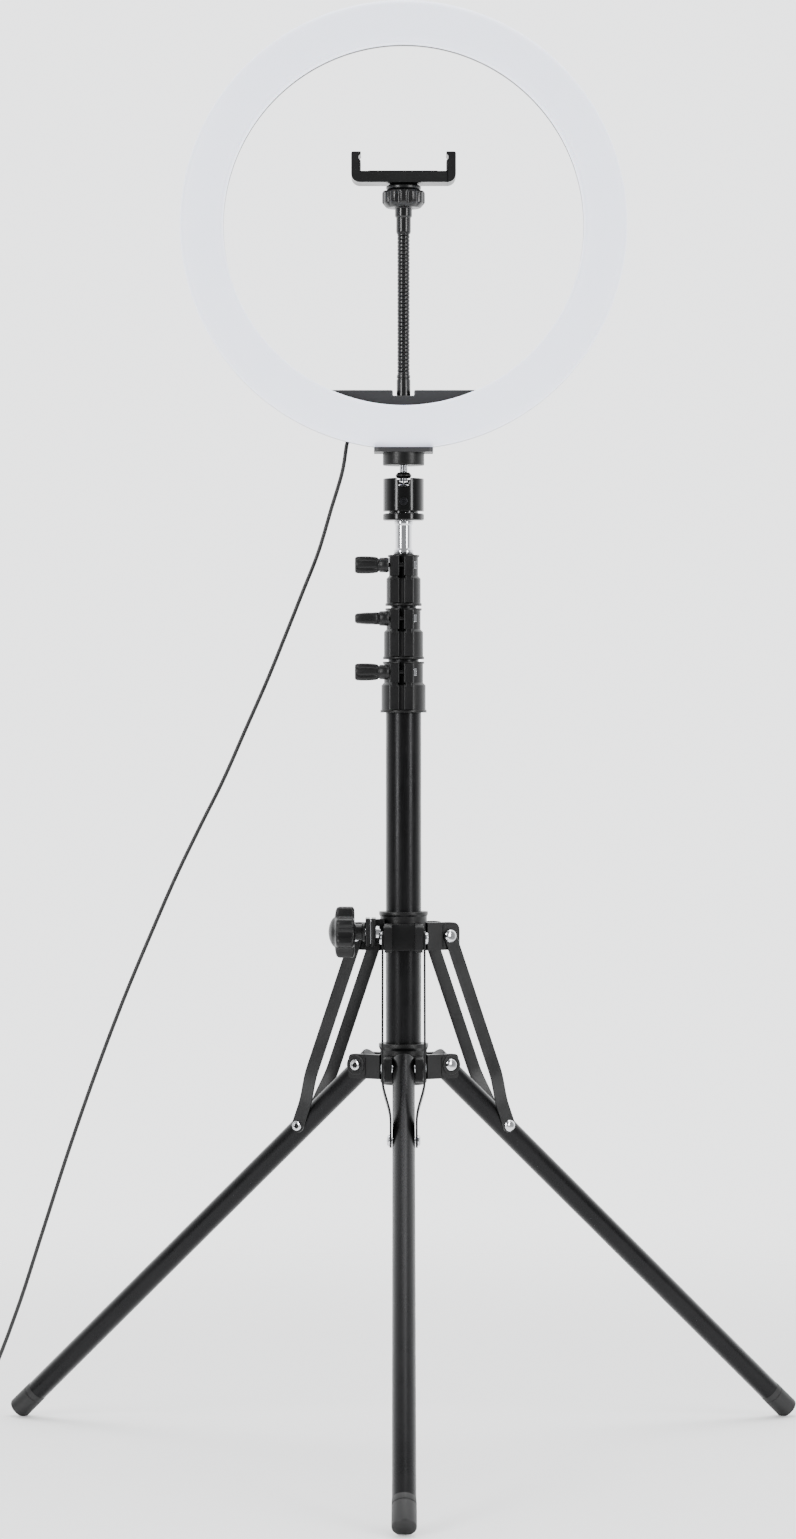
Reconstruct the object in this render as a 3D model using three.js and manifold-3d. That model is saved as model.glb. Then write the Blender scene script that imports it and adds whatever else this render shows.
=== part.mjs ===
// Ring light on a reverse-folding tripod stand, with a gooseneck phone clip and a USB lead.
// Millimetres, +Z up, the light faces -Y. The stand's front leg points along -Y.
import * as THREE from 'three';
import { mergeVertices } from 'three/addons/utils/BufferGeometryUtils.js';
import Module from 'manifold-3d';

const wasm = await Module();
wasm.setup();

// ---------------------------------------------------------------- driving dimensions

const gap = 0.3; // clearance between pieces that touch
const turnPlay = 0.4; // side play of a leg between its plates
const pinPlay = 0.25; // radial play of a pin in its hole

// mast
const mainTubeR = 13.15;
const tubeStep = 1.85; // each section is this much smaller in radius than the one below
const tubeWall = 1.2;

// lock collars
const lockBottomZ = 546.9;
const lockHeight = 37.6;
const lockSpacing = 1.8; // air between one collar and the next, mast closed
const lockWall = 3.2;
const lockLowerHeight = 21.5;
const lockUpperStep = 1.9; // the upper band is this much smaller in radius
const lockRim = 0.8;
const lockLugWidth = 7.4;
const lockLugDepth = 6.4;
const lockSlit = 3.1;
const lockSlitX = -1.45;
const lockBoltOut = 3.2; // bolt axis, out from the upper band
const lockBoltHeight = 29.8;
const boltR = 2.5;

// wing knobs on the lock bolts
const wingTipX = -35.8;
const wingGripLength = 17;
const wingGripWidth = 12.8;
const wingGripThick = 8.8;
const wingNeckR = 6.2;

// lower hub and legs
const hubR = 17.25;
const hubBottomZ = 272;
const hubHeight = 30.5;
const hubFloor = 2.2;
const hubArmTipR = 39;
const hubArmBottomZ = 276;
const hubArmHeight = 18;
const armHalf = 14.2;
const armSlotR = 21.2; // where the slot for the leg starts
const legPivotR = 32.5;
const legPivotZ = 286;
const legAngle = 41.9 * Math.PI / 180; // below the horizontal, open
const legR = 8.25;
const legTail = 7; // tube behind the pivot
const legPinR = 3;
const footR = 8.9;
const footLength = 24;
const footEnd = 3;
const footChamfer = 1.5;
const footPressed = 0.8; // worn flat where the foot meets the floor
const legAzimuths = [270, 150, 30];

// sliding collar and struts
const collarR = 17.35;
const collarBottomZ = 373.5;
const collarHeight = 26.5;
const collarArmTipR = 40;
const collarArmBottomZ = 371.2;
const collarArmHeight = 20.5;
const strutPivotR = 31;
const strutPivotZ = 381.5;
const strutOnLeg = 71.7; // from the leg's pivot, along the leg
const strutWidth = 10.4;
const strutThick = 1.5;
const strutPinR = 2.4;
const rivetHeadR = 4;
const rivetHeadThick = 1.4;

// star knob on the sliding collar
const clampOuterX = -28;
const clampInnerX = -20.5;
const clampY = -22.5;
const clampZ = 385.7;
const clampHalf = 7.2;
const clampHeight = 20;
const starBackX = -36;
const starThick = 13;
const starDome = 6.2;
const starR = 19.25;
const starLobes = 7;
const starLobe = 1.7;
const starNeckR = 6.7;

// ball head
const spigotR = 6.15;
const spigotHeight = 23.5;
const spigotPlug = 24;
const spigotStudR = 3;
const headR = 15.15;
const headRingHeight = 5.1;
const headGroove = 1.3;
const headGrooveDepth = 4.1;
const headHeight = 24.3;
const ballR = 8;
const ballDrop = 11.7; // ball centre below the housing's rim
const dishR = 13.2;
const dishDepth = 7.5;
const notchWidth = 9.8;
const notchDepth = 7.3;
const studR = 3.1;
const studFlangeR = 6.35;
const studFlangeHeight = 4.2;
const studShow = 5.2;
const grubR = 3;
const grubDrop = 17.4;

// bracket and ring
const bossR = 15.35;
const bossHeight = 9.4;
const bracketWidth = 43.7;
const bracketThick = 3.5;
const bracketTab = 14.5;
const ringOuterR = 165;
const ringWidth = 32;
const ringFront = 12.5; // in front of the mast's axis
const ringBack = 12;
const ringSeam = 2; // the joint of diffuser and shell, behind the mast's axis
const shellWall = 1.8;
const ledThick = 1.2;

// control housing behind the ring
const housingDepth = 15;
const housingRise = 10.4; // above the ring's inner edge
const housingRim = 17; // behind the ring, out from its inner edge
const housingNotch = 15.7;
const housingNotchDepth = 3.7;
const coverThick = 2.4;

// gooseneck and phone clip
const neckFerruleR = 5.15;
const neckFerruleHeight = 16;
const gooseneckR = 4.05;
const gooseneckLength = 104;
const topFerruleR = 5.5;
const topFerruleHeight = 19;
const clipNutR = 15.9;
const clipNutHeight = 12.7;
const clipBallR = 6.6;
const clipBallPlay = 0.5;
const clipFlangeR = 13;
const clipFlangeHeight = 2.9;
const clipWidth = 77.6;
const clipDepth = 26;
const clipBarHeight = 9.6;
const clipArm = 5.6;
const clipArmRise = 14;
const clipHook = 1.6;
const clipCorner = 5;
const tongueHalf = 7;
const tongueThick = 4.6;
const tongueLength = 42;

// lead
const leadR = 1.5;
const reliefLength = 12.5;
const reliefR = 3.2;
const leadExitX = -38;
const leadExitTilt = 15 * Math.PI / 180; // from straight down, outwards
const controllerLength = 74;
const controllerWidth = 21;
const controllerHeight = 10.6;
const buttonR = 4.2;
const buttonProud = 0.9;
const buttonSpacing = 15;
const coilMiddleR = 17;
const coilSectionR = 4.6;
const plugLength = 37;
const plugWidth = 15;
const plugHeight = 8;

// ---------------------------------------------------------------- derived places

const ringInnerR = ringOuterR - ringWidth;
const tubeR = [0, 1, 2, 3].map((i) => mainTubeR - i * tubeStep);
const lockZ = [0, 1, 2].map((i) => lockBottomZ + i * (lockHeight + lockSpacing));
const mastTopZ = lockZ[2] + lockHeight;
const spigotZ = mastTopZ + 1.6;
const headRingZ = spigotZ + spigotHeight + gap;
const headNeckZ = headRingZ + headRingHeight + gap;
const headZ = headNeckZ + headGroove;
const headTopZ = headZ + headHeight;
const ballZ = headTopZ - ballDrop;
const studFlangeZ = headTopZ + gap;
const bossZ = studFlangeZ + studFlangeHeight + studShow;
const bracketZ = bossZ + bossHeight;
const ringZ = bracketZ + bracketThick + gap + ringOuterR;
const housingTopZ = ringZ - ringInnerR + housingRise;
const housingY = ringBack + gap;
const housingOuterR = ringInnerR + housingRim;
const neckY = housingY + housingDepth / 2;
const neckFerruleZ = housingTopZ - housingNotchDepth + gap;
const gooseneckZ = neckFerruleZ + neckFerruleHeight + gap;
const topFerruleZ = gooseneckZ + gooseneckLength + gap;
const clipNutZ = topFerruleZ + topFerruleHeight;
const clipFlangeZ = clipNutZ + clipNutHeight + gap;
const clipBarZ = clipFlangeZ + clipFlangeHeight + gap;
const footEndAlong =
  (legPivotZ + footPressed - footR * Math.cos(legAngle) + footChamfer * Math.sin(legAngle)) / Math.sin(legAngle);

// ---------------------------------------------------------------- materials

const finish = (color, roughness, metalness) => new THREE.MeshStandardMaterial({ color, roughness, metalness });
const anodised = finish('#1b1b1c', 0.32, 0.85);
const blackPlastic = finish('#161617', 0.55, 0);
const blackPaint = finish('#232324', 0.42, 0.4);
const chrome = finish('#d6d7d9', 0.08, 1);
const opal = finish('#e3e6ef', 0.45, 0);
const shellPlastic = finish('#2a2a2c', 0.5, 0);
const rubber = finish('#111112', 0.85, 0);
const board = finish('#e9e9e4', 0.6, 0);

// ---------------------------------------------------------------- solid helpers

// One welded surface without empty triangles, faces out.
function closed(geometry) {
  const bare = geometry.index ? geometry.toNonIndexed() : geometry.clone();
  bare.deleteAttribute('normal');
  bare.deleteAttribute('uv');
  const welded = mergeVertices(bare, 1e-4);
  const corners = welded.index.array;
  const place = welded.attributes.position;
  const a = new THREE.Vector3();
  const b = new THREE.Vector3();
  const c = new THREE.Vector3();
  const kept = [];
  let volume = 0;
  for (let i = 0; i < corners.length; i += 3) {
    const [p, q, r] = [corners[i], corners[i + 1], corners[i + 2]];
    if (p === q || q === r || r === p) continue;
    kept.push([p, q, r]);
    a.fromBufferAttribute(place, p);
    b.fromBufferAttribute(place, q);
    c.fromBufferAttribute(place, r);
    volume += a.dot(b.cross(c));
  }
  welded.setIndex(kept.flatMap(([p, q, r]) => (volume < 0 ? [p, r, q] : [p, q, r])));
  return welded;
}

function solid(geometry) {
  const welded = closed(geometry);
  return new wasm.Manifold(new wasm.Mesh({
    numProp: 3,
    vertProperties: Float32Array.from(welded.attributes.position.array),
    triVerts: Uint32Array.from(welded.index.array),
  }));
}

function surface(body) {
  const mesh = body.getMesh();
  const geometry = new THREE.BufferGeometry();
  geometry.setAttribute('position', new THREE.BufferAttribute(mesh.vertProperties, 3));
  geometry.setIndex(new THREE.BufferAttribute(mesh.triVerts, 1));
  geometry.computeVertexNormals();
  return geometry;
}

// A profile of [radius, height] turned about Z.
function turned(profile, sides = 16) {
  const points = profile.map(([r, z]) => new THREE.Vector2(r, z));
  return new THREE.LatheGeometry(points, sides).rotateX(Math.PI / 2);
}

function loop(profile) {
  return [...profile, profile[0]];
}

function box([x0, y0, z0], [x1, y1, z1]) {
  const geometry = new THREE.BoxGeometry(x1 - x0, y1 - y0, z1 - z0);
  return geometry.translate((x0 + x1) / 2, (y0 + y1) / 2, (z0 + z1) / 2);
}

// A round bar from low to high along one axis, 'x', 'y' or 'z', through [u, v] in the other two.
function bar(axis, radius, low, high, [u, v] = [0, 0], sides = 12) {
  const geometry = new THREE.CylinderGeometry(radius, radius, high - low, sides);
  const middle = (low + high) / 2;
  if (axis === 'x') return geometry.rotateZ(-Math.PI / 2).translate(middle, u, v);
  if (axis === 'y') return geometry.translate(u, middle, v);
  return geometry.rotateX(Math.PI / 2).translate(u, v, middle);
}

// A flat outline in X and Z, given some depth along Y from y0 to y1.
function plateXZ(shape, y0, y1, curveSegments = 12) {
  const geometry = new THREE.ExtrudeGeometry(shape, { depth: y1 - y0, bevelEnabled: false, curveSegments });
  return geometry.rotateX(Math.PI / 2).translate(0, y1, 0);
}

// ---------------------------------------------------------------- assembly

const group = new THREE.Group();

function piece(parent, name, geometry, material) {
  const mesh = new THREE.Mesh(geometry, material);
  mesh.name = name;
  parent.add(mesh);
  return mesh;
}

function turn(degrees) {
  return degrees * Math.PI / 180;
}

// ---- three plates to carry three legs or struts, on a ring around the mast

function armBlock(tipR, z0, z1) {
  return box([0, -armHalf, z0], [tipR, armHalf, z1]);
}

function armSlot(tipR, z0, z1) {
  const half = legR + turnPlay;
  return box([armSlotR, -half, z0 - 1], [tipR + 1, half, z1 + 1]);
}

function armedRing(ringR, z0, z1, tipR, arm0, arm1) {
  let body = solid(turned([[0, z0], [ringR, z0], [ringR, z1], [0, z1]], 20));
  for (const azimuth of legAzimuths) {
    body = body.add(solid(armBlock(tipR, arm0, arm1).rotateZ(turn(azimuth))));
  }
  for (const azimuth of legAzimuths) {
    body = body.subtract(solid(armSlot(tipR, arm0, arm1).rotateZ(turn(azimuth))));
  }
  return body;
}

// ---- lower hub: fixed to the foot of the mast, closed below

function lowerHub() {
  const top = hubBottomZ + hubHeight;
  let body = armedRing(hubR, hubBottomZ, top, hubArmTipR, hubArmBottomZ, hubArmBottomZ + hubArmHeight);
  body = body.subtract(solid(bar('z', mainTubeR + gap, hubBottomZ + hubFloor, top + 1, [0, 0], 20)));
  for (const azimuth of legAzimuths) {
    const hole = bar('y', legPinR + pinPlay, -armHalf - 1, armHalf + 1, [legPivotR, legPivotZ], 10);
    body = body.subtract(solid(hole.rotateZ(turn(azimuth))));
  }
  return surface(body);
}

// ---- mast sections

function tube(radius, z0, z1, sides = 20) {
  const inner = radius - tubeWall;
  return turned(loop([[inner, z0], [radius, z0], [radius, z1], [inner, z1]]), sides);
}

function sectionTop(i) {
  return i < 3 ? lockZ[i] + lockLowerHeight - 2 : mastTopZ + 1.2;
}

function sectionBottom(i) {
  return hubBottomZ + hubFloor + gap + i * 1.5;
}

// ---- lock collar: grips its own tube below, and clamps the next one in its split upper band

function lockCollar(i) {
  const z = lockZ[i];
  const lowerR = tubeR[i] + lockWall;
  const upperR = lowerR - lockUpperStep;
  const top = z + lockHeight;
  const shoulder = z + lockLowerHeight;
  const outline = [
    [0, z], [lowerR + lockRim, z], [lowerR + lockRim, z + 1.6], [lowerR, z + 1.6],
    [lowerR, shoulder - 1], [upperR, shoulder + 1],
    [upperR, top - 1.5], [upperR + lockRim, top - 1.5], [upperR + lockRim, top], [0, top],
  ];
  const lugs = [lockSlitX - lockSlit / 2 - lockLugWidth, lockSlitX + lockSlit / 2 + lockLugWidth];
  const lugFront = -upperR - lockLugDepth;
  const ownBore = bar('z', tubeR[i] + gap, z - 1, shoulder - 2 + gap, [0, 0], 20);
  const nextBore = bar('z', tubeR[i + 1] + gap, z - 1, top + 1, [0, 0], 20);
  const slit = [lockSlitX - lockSlit / 2, lockSlitX + lockSlit / 2];
  return surface(solid(turned(outline, 20))
    .add(solid(box([lugs[0], lugFront, shoulder + 1], [lugs[1], 0, top - 1.5])))
    .add(solid(box([lugs[0], -lowerR - lockRim - 1, z + 1.6], [lugs[1], 0, shoulder - 1])))
    .subtract(solid(ownBore))
    .subtract(solid(nextBore))
    .subtract(solid(box([slit[0], lugFront - 1, shoulder - 0.5], [slit[1], 0, top + 1])))
    .subtract(solid(bar('x', boltR + pinPlay, lugs[0] - 1, lugs[1] + 1, lockBolt(i), 10))));
}

// The bolt's axis as [y, z].
function lockBolt(i) {
  const upperR = tubeR[i] + lockWall - lockUpperStep;
  return [-upperR - lockBoltOut, lockZ[i] + lockBoltHeight];
}

function wingKnob(i) {
  const lugs = [lockSlitX - lockSlit / 2 - lockLugWidth, lockSlitX + lockSlit / 2 + lockLugWidth];
  const [y, z] = lockBolt(i);
  const gripX = wingTipX + wingGripLength;
  const halfWidth = wingGripWidth / 2;
  const halfThick = wingGripThick / 2;
  const grip = new THREE.Shape();
  grip.moveTo(-halfThick, -halfWidth + 2);
  grip.quadraticCurveTo(-halfThick, -halfWidth, 0, -halfWidth);
  grip.quadraticCurveTo(halfThick, -halfWidth, halfThick, -halfWidth + 2);
  grip.lineTo(halfThick, halfWidth - 2);
  grip.quadraticCurveTo(halfThick, halfWidth, 0, halfWidth);
  grip.quadraticCurveTo(-halfThick, halfWidth, -halfThick, halfWidth - 2);
  const bladed = new THREE.ExtrudeGeometry(grip, { depth: wingGripLength, bevelEnabled: false, curveSegments: 2 });
  bladed.rotateY(Math.PI / 2).rotateX(Math.PI / 2).translate(wingTipX, y, z);
  return surface(solid(bladed)
    .add(solid(bar('x', wingNeckR, gripX - 1, lugs[0] - gap, [y, z], 12)))
    .add(solid(bar('x', boltR, gripX - 1, lugs[1] + 2.5, [y, z], 10))));
}

// ---- leg: a tube in its plates, a rubber foot, two struts and their pins, all in the leg's own
// upright plane, X outwards from the mast's axis

function alongLeg(geometry) {
  return geometry.rotateY(legAngle).translate(legPivotR, 0, legPivotZ);
}

function legTube() {
  const end = footEndAlong - footEnd - gap;
  const inner = legR - tubeWall;
  const skin = turned(loop([[inner, -legTail], [legR, -legTail], [legR, end], [inner, end]]), 14);
  const holes = [[legPinR, 0], [strutPinR, strutOnLeg]];
  let body = solid(skin.rotateY(Math.PI / 2));
  for (const [radius, along] of holes) {
    body = body.subtract(solid(bar('y', radius + pinPlay, -legR - 1, legR + 1, [along, 0], 10)));
  }
  return alongLeg(surface(body));
}

function foot() {
  const start = footEndAlong - footLength;
  const bore = legR + gap;
  const cap = turned([
    [0, footEndAlong], [footR - footChamfer, footEndAlong], [footR, footEndAlong - footChamfer],
    [footR, start + 0.8], [footR - 0.3, start], [bore, start],
    [bore, footEndAlong - footEnd], [0, footEndAlong - footEnd],
  ], 14);
  const body = solid(alongLeg(cap.rotateY(Math.PI / 2)));
  const floor = box([legPivotR, -footR * 2, -footR * 3], [footEndAlong * 2, footR * 2, 0]);
  return surface(body.subtract(solid(floor)));
}

function legPin() {
  const reach = armHalf + gap;
  return surface(solid(bar('y', legPinR, -reach - 1, reach + 1, [legPivotR, legPivotZ], 10))
    .add(solid(bar('y', rivetHeadR, -reach - rivetHeadThick, -reach, [legPivotR, legPivotZ], 10)))
    .add(solid(bar('y', rivetHeadR, reach, reach + rivetHeadThick, [legPivotR, legPivotZ], 10))));
}

const strutFoot = new THREE.Vector2(
  legPivotR + strutOnLeg * Math.cos(legAngle),
  legPivotZ - strutOnLeg * Math.sin(legAngle),
);
const strutHead = new THREE.Vector2(strutPivotR, strutPivotZ);
const strutRun = strutHead.clone().sub(strutFoot);
const strutLength = strutRun.length();
const strutInnerTop = armHalf + gap;
const strutInnerFoot = legR + turnPlay;

function strutPin() {
  const reach = strutInnerFoot + strutThick + gap;
  const at = [strutFoot.x, strutFoot.y];
  return surface(solid(bar('y', strutPinR, -reach - 1, reach + 1, at, 10))
    .add(solid(bar('y', rivetHeadR - 0.8, -reach - rivetHeadThick, -reach, at, 10)))
    .add(solid(bar('y', rivetHeadR - 0.8, reach, reach + rivetHeadThick, at, 10))));
}

// One flat strip: straight beside the upper plates, then bent in to lie beside the leg.
function strut(side) {
  const half = strutWidth / 2;
  const bendStart = strutLength * 0.3;
  const bendEnd = strutLength * 0.06 + half;
  const inner = [
    [-half, strutInnerFoot], [bendEnd, strutInnerFoot], [bendStart, strutInnerTop],
    [strutLength + half, strutInnerTop],
  ];
  const outer = inner.map(([along, out]) => [along, out + strutThick]).reverse();
  const outline = new THREE.Shape([...inner, ...outer].map(([along, out]) => new THREE.Vector2(along, out)));
  const strip = new THREE.ExtrudeGeometry(outline, { depth: strutWidth, bevelEnabled: false });
  strip.translate(0, 0, -half);
  if (side < 0) strip.scale(1, -1, 1);
  const rise = Math.atan2(strutRun.y, strutRun.x);
  strip.rotateY(-rise).translate(strutFoot.x, 0, strutFoot.y);
  const hole = bar('y', strutPinR + pinPlay, -armHalf, armHalf, [strutFoot.x, strutFoot.y], 10);
  const headInner = side * (strutInnerTop + strutThick - 0.2);
  const headOuter = side * (strutInnerTop + strutThick + rivetHeadThick);
  const low = Math.min(headInner, headOuter);
  const high = Math.max(headInner, headOuter);
  return surface(solid(strip)
    .subtract(solid(hole))
    .add(solid(bar('y', rivetHeadR, low, high, [strutHead.x, strutHead.y], 10))));
}

// ---- sliding collar, with two clamp lugs for the star knob's bolt

function slidingCollar() {
  const top = collarBottomZ + collarHeight;
  const armTop = collarArmBottomZ + collarArmHeight;
  const lowZ = clampZ - clampHeight / 2;
  const lug = box([clampOuterX, clampY - clampHalf, lowZ], [clampInnerX, -1, lowZ + clampHeight]);
  const middleX = (clampOuterX + clampInnerX) / 2;
  const split = box([middleX - 0.6, clampY - clampHalf - 1, lowZ - 1], [middleX + 0.6, -9, lowZ + clampHeight + 1]);
  return surface(armedRing(collarR, collarBottomZ, top, collarArmTipR, collarArmBottomZ, armTop)
    .add(solid(lug))
    .subtract(solid(split))
    .subtract(solid(bar('z', mainTubeR + gap, collarBottomZ - 5, top + 1, [0, 0], 20)))
    .subtract(solid(bar('x', boltR + pinPlay, clampOuterX - 1, clampInnerX + 1, [clampY, clampZ], 10))));
}

function starKnob() {
  const shape = new THREE.Shape();
  const steps = starLobes * 6;
  for (let i = 0; i < steps; i += 1) {
    const angle = i / steps * 2 * Math.PI;
    const radius = starR - starLobe + starLobe * Math.cos(starLobes * angle);
    const place = [radius * Math.cos(angle), radius * Math.sin(angle)];
    if (i === 0) shape.moveTo(...place);
    else shape.lineTo(...place);
  }
  const lobes = new THREE.ExtrudeGeometry(shape, { depth: starThick, bevelEnabled: false });
  lobes.rotateY(Math.PI / 2).translate(starBackX - starThick, clampY, clampZ);
  const rim = starR - 3 * starLobe;
  const dome = turned([[0, starDome], [rim * 0.45, starDome * 0.85], [rim * 0.8, starDome * 0.4], [rim, 0], [0, -1]]
    , 14);
  dome.rotateY(-Math.PI / 2).translate(starBackX - starThick, clampY, clampZ);
  return surface(solid(lobes)
    .add(solid(dome))
    .add(solid(bar('x', starNeckR, starBackX - 1, clampOuterX - gap, [clampY, clampZ], 12)))
    .add(solid(bar('x', boltR, starBackX - 1, clampInnerX + 1.6, [clampY, clampZ], 10))));
}

// ---- ball head

function spigot() {
  const plugR = tubeR[3] - tubeWall - gap;
  return turned([
    [0, spigotZ - spigotPlug], [plugR, spigotZ - spigotPlug], [plugR, spigotZ - gap / 2],
    [spigotR + 0.9, spigotZ], [spigotR + 0.5, spigotZ + 2], [spigotR, spigotZ + 3.2],
    [spigotR, spigotZ + spigotHeight - 3], [spigotR + 0.5, spigotZ + spigotHeight - 2],
    [spigotR + 0.5, spigotZ + spigotHeight], [spigotStudR, spigotZ + spigotHeight],
    [spigotStudR, headZ + 3.6], [0, headZ + 3.6],
  ], 16);
}

function headRing() {
  const top = headRingZ + headRingHeight;
  const bore = spigotStudR + gap;
  return turned(loop([
    [bore, headRingZ], [headR - 0.6, headRingZ], [headR, headRingZ + 0.6],
    [headR, top - 0.5], [headR - 0.5, top], [bore, top],
  ]), 20);
}

function ballHousing() {
  const bore = spigotStudR + gap;
  const lipR = Math.sqrt(ballR ** 2 - 16) + 0.4;
  const body = solid(turned(loop([
    [bore, headNeckZ], [headR - headGrooveDepth, headNeckZ], [headR - headGrooveDepth, headZ],
    [headR - 0.5, headZ], [headR, headZ + 0.5], [headR, headTopZ - 0.8], [headR - 0.8, headTopZ],
    [dishR, headTopZ], [dishR, headTopZ - dishDepth], [lipR + 0.4, headTopZ - dishDepth],
    [lipR, ballZ + 4], [ballR + gap, ballZ + 1.4], [ballR + gap, ballZ - ballR - gap],
    [bore, ballZ - ballR - gap],
  ]), 24));
  const slotZ = headTopZ - notchDepth + notchWidth / 2;
  const slot = box([-notchWidth / 2, -headR - 1, slotZ], [notchWidth / 2, -ballR, headTopZ + 1]);
  const slotEnd = bar('y', notchWidth / 2, -headR - 1, -ballR, [0, slotZ], 14);
  const grubHole = bar('y', grubR + gap, -headR - 1, -headR + 4.6, [0, headTopZ - grubDrop], 10);
  return surface(body.subtract(solid(slot)).subtract(solid(slotEnd)).subtract(solid(grubHole)));
}

function ballStud() {
  const profile = [];
  const neckAngle = Math.asin(studR / ballR);
  const steps = 6;
  for (let i = 0; i <= steps; i += 1) {
    const angle = -Math.PI / 2 + (Math.PI - neckAngle) * i / steps;
    profile.push([Math.max(0, ballR * Math.cos(angle)), ballZ + ballR * Math.sin(angle)]);
  }
  profile[0][0] = 0;
  return turned([...profile, [studR, bracketZ - 1.2], [0, bracketZ - 1.2]], 16);
}

function studFlange() {
  const top = studFlangeZ + studFlangeHeight;
  const bore = studR + gap;
  return turned(loop([
    [bore, studFlangeZ], [studFlangeR - 1.2, studFlangeZ], [studFlangeR, studFlangeZ + 1.4],
    [studFlangeR - 0.6, studFlangeZ + 2.6], [bore + 1, top], [bore, top],
  ]), 16);
}

// ---- bracket: a boss for the stud, a shelf under the ring and a tab behind it

function mountBracket() {
  const half = bracketWidth / 2;
  const shelf = box([-half, -bossR, bracketZ], [half, housingY + bracketThick, bracketZ + bracketThick]);
  const tab = box([-half, housingY, bracketZ], [half, housingY + bracketThick, bracketZ + bracketTab]);
  const boss = turned([[0, bossZ], [bossR - 0.5, bossZ], [bossR, bossZ + 0.5], [bossR, bracketZ + 1], [0, bracketZ + 1]], 20);
  return surface(solid(shelf)
    .add(solid(tab))
    .add(solid(boss))
    .subtract(solid(bar('z', studR + gap, bossZ - 1, bracketZ - 1.2 + gap, [0, 0], 16))));
}

// ---- the ring: an opal diffuser clipped into a dark rear shell, with the LED board between them

// A closed profile of [radius, forward] turned about the ring's axis.
function aroundRing(profile, sides) {
  return turned(loop(profile), sides).rotateX(Math.PI / 2).translate(0, 0, ringZ);
}

function ringDiffuser() {
  const [o, i, w] = [ringOuterR, ringInnerR, shellWall];
  const f = ringFront;
  return aroundRing([
    [o, -ringSeam], [o, f - 5.5], [o - 1.6, f - 2.6], [o - 5, f - 0.8], [(o + i) / 2, f],
    [i + 5, f - 0.8], [i + 1.6, f - 2.6], [i, f - 5.5], [i, -ringSeam],
    [i + w, -ringSeam], [i + w, f - 6], [i + 5.6, f - 2.6], [(o + i) / 2, f - w],
    [o - 5.6, f - 2.6], [o - w, f - 6], [o - w, -ringSeam],
  ], 44);
}

function ringShell() {
  const [o, i, w] = [ringOuterR, ringInnerR, shellWall];
  const b = ringBack;
  return aroundRing([
    [o, -ringSeam - gap], [o - w, -ringSeam - gap], [o - w, -b + 3.6], [o - w - 2, -b + w],
    [i + w + 2, -b + w], [i + w, -b + 3.6], [i + w, -ringSeam - gap],
    [i, -ringSeam - gap], [i, -b + 3], [i + 3, -b], [o - 3, -b], [o, -b + 3],
  ], 44);
}

function ledBoard() {
  const back = ringSeam + 3;
  const [o, i] = [ringOuterR - shellWall - 1, ringInnerR + shellWall + 1];
  return aroundRing([[o, -back], [o, -back + ledThick], [i, -back + ledThick], [i, -back]], 36);
}

// ---- control housing: a shallow box shaped as a segment of a circle, and its rear cover

function housingShape(inset) {
  const top = housingTopZ - inset;
  const radius = housingOuterR - inset;
  const drop = Math.asin((ringZ - top) / radius);
  const shape = new THREE.Shape();
  shape.absarc(0, ringZ, radius, -drop, drop - Math.PI, true);
  shape.closePath();
  return shape;
}

function controlHousing() {
  const back = housingY + housingDepth - coverThick - gap;
  const notch = box(
    [-housingNotch / 2, housingY - 1, housingTopZ - housingNotchDepth],
    [housingNotch / 2, back + 1, housingTopZ + 1],
  );
  const hollow = plateXZ(housingShape(2.2), housingY + 2, back + 1, 14);
  const leaveNotch = box(
    [-housingNotch / 2 - 2, housingY, housingTopZ - housingNotchDepth - 2],
    [housingNotch / 2 + 2, back, housingTopZ],
  );
  return surface(solid(plateXZ(housingShape(0), housingY, back, 14))
    .subtract(solid(hollow))
    .add(solid(leaveNotch))
    .subtract(solid(notch)));
}

function controlCover() {
  const back = housingY + housingDepth;
  const notch = box(
    [-housingNotch / 2, back - coverThick - 1, housingTopZ - housingNotchDepth],
    [housingNotch / 2, back + 1, housingTopZ + 1],
  );
  return surface(solid(plateXZ(housingShape(0), back - coverThick, back, 14)).subtract(solid(notch)));
}

// ---- gooseneck and phone clip

function neckPart(profile, sides = 16) {
  return turned(profile, sides).translate(0, neckY, 0);
}

function neckFerrule() {
  const z = neckFerruleZ;
  const top = z + neckFerruleHeight;
  return neckPart([[0, z], [neckFerruleR, z], [neckFerruleR, top - 1], [neckFerruleR - 0.6, top], [0, top]]);
}

function gooseneckHalf(z0, z1) {
  return neckPart([[0, z0], [gooseneckR, z0], [gooseneckR, z1], [0, z1]], 12);
}

function topFerrule() {
  const z = topFerruleZ;
  const top = z + topFerruleHeight;
  const headTop = top + gap + 1.2;
  return neckPart([
    [0, z], [topFerruleR - 0.7, z], [topFerruleR, z + 1.5], [topFerruleR, top],
    [clipBallR + clipBallPlay - gap, top], [clipBallR + clipBallPlay - gap, headTop], [0, headTop],
  ]);
}

function clipNut() {
  const z = clipNutZ + gap;
  const top = clipNutZ + clipNutHeight;
  const cavity = clipBallR + clipBallPlay;
  return neckPart(loop([
    [cavity, z], [clipNutR - 3.2, z], [clipNutR, z + 3.4], [clipNutR, top - 0.6], [clipNutR - 0.6, top],
    [clipBallR - 0.1, top], [clipBallR - 0.1, top - 1.4], [cavity, top - 2.8],
  ]), 20);
}

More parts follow.
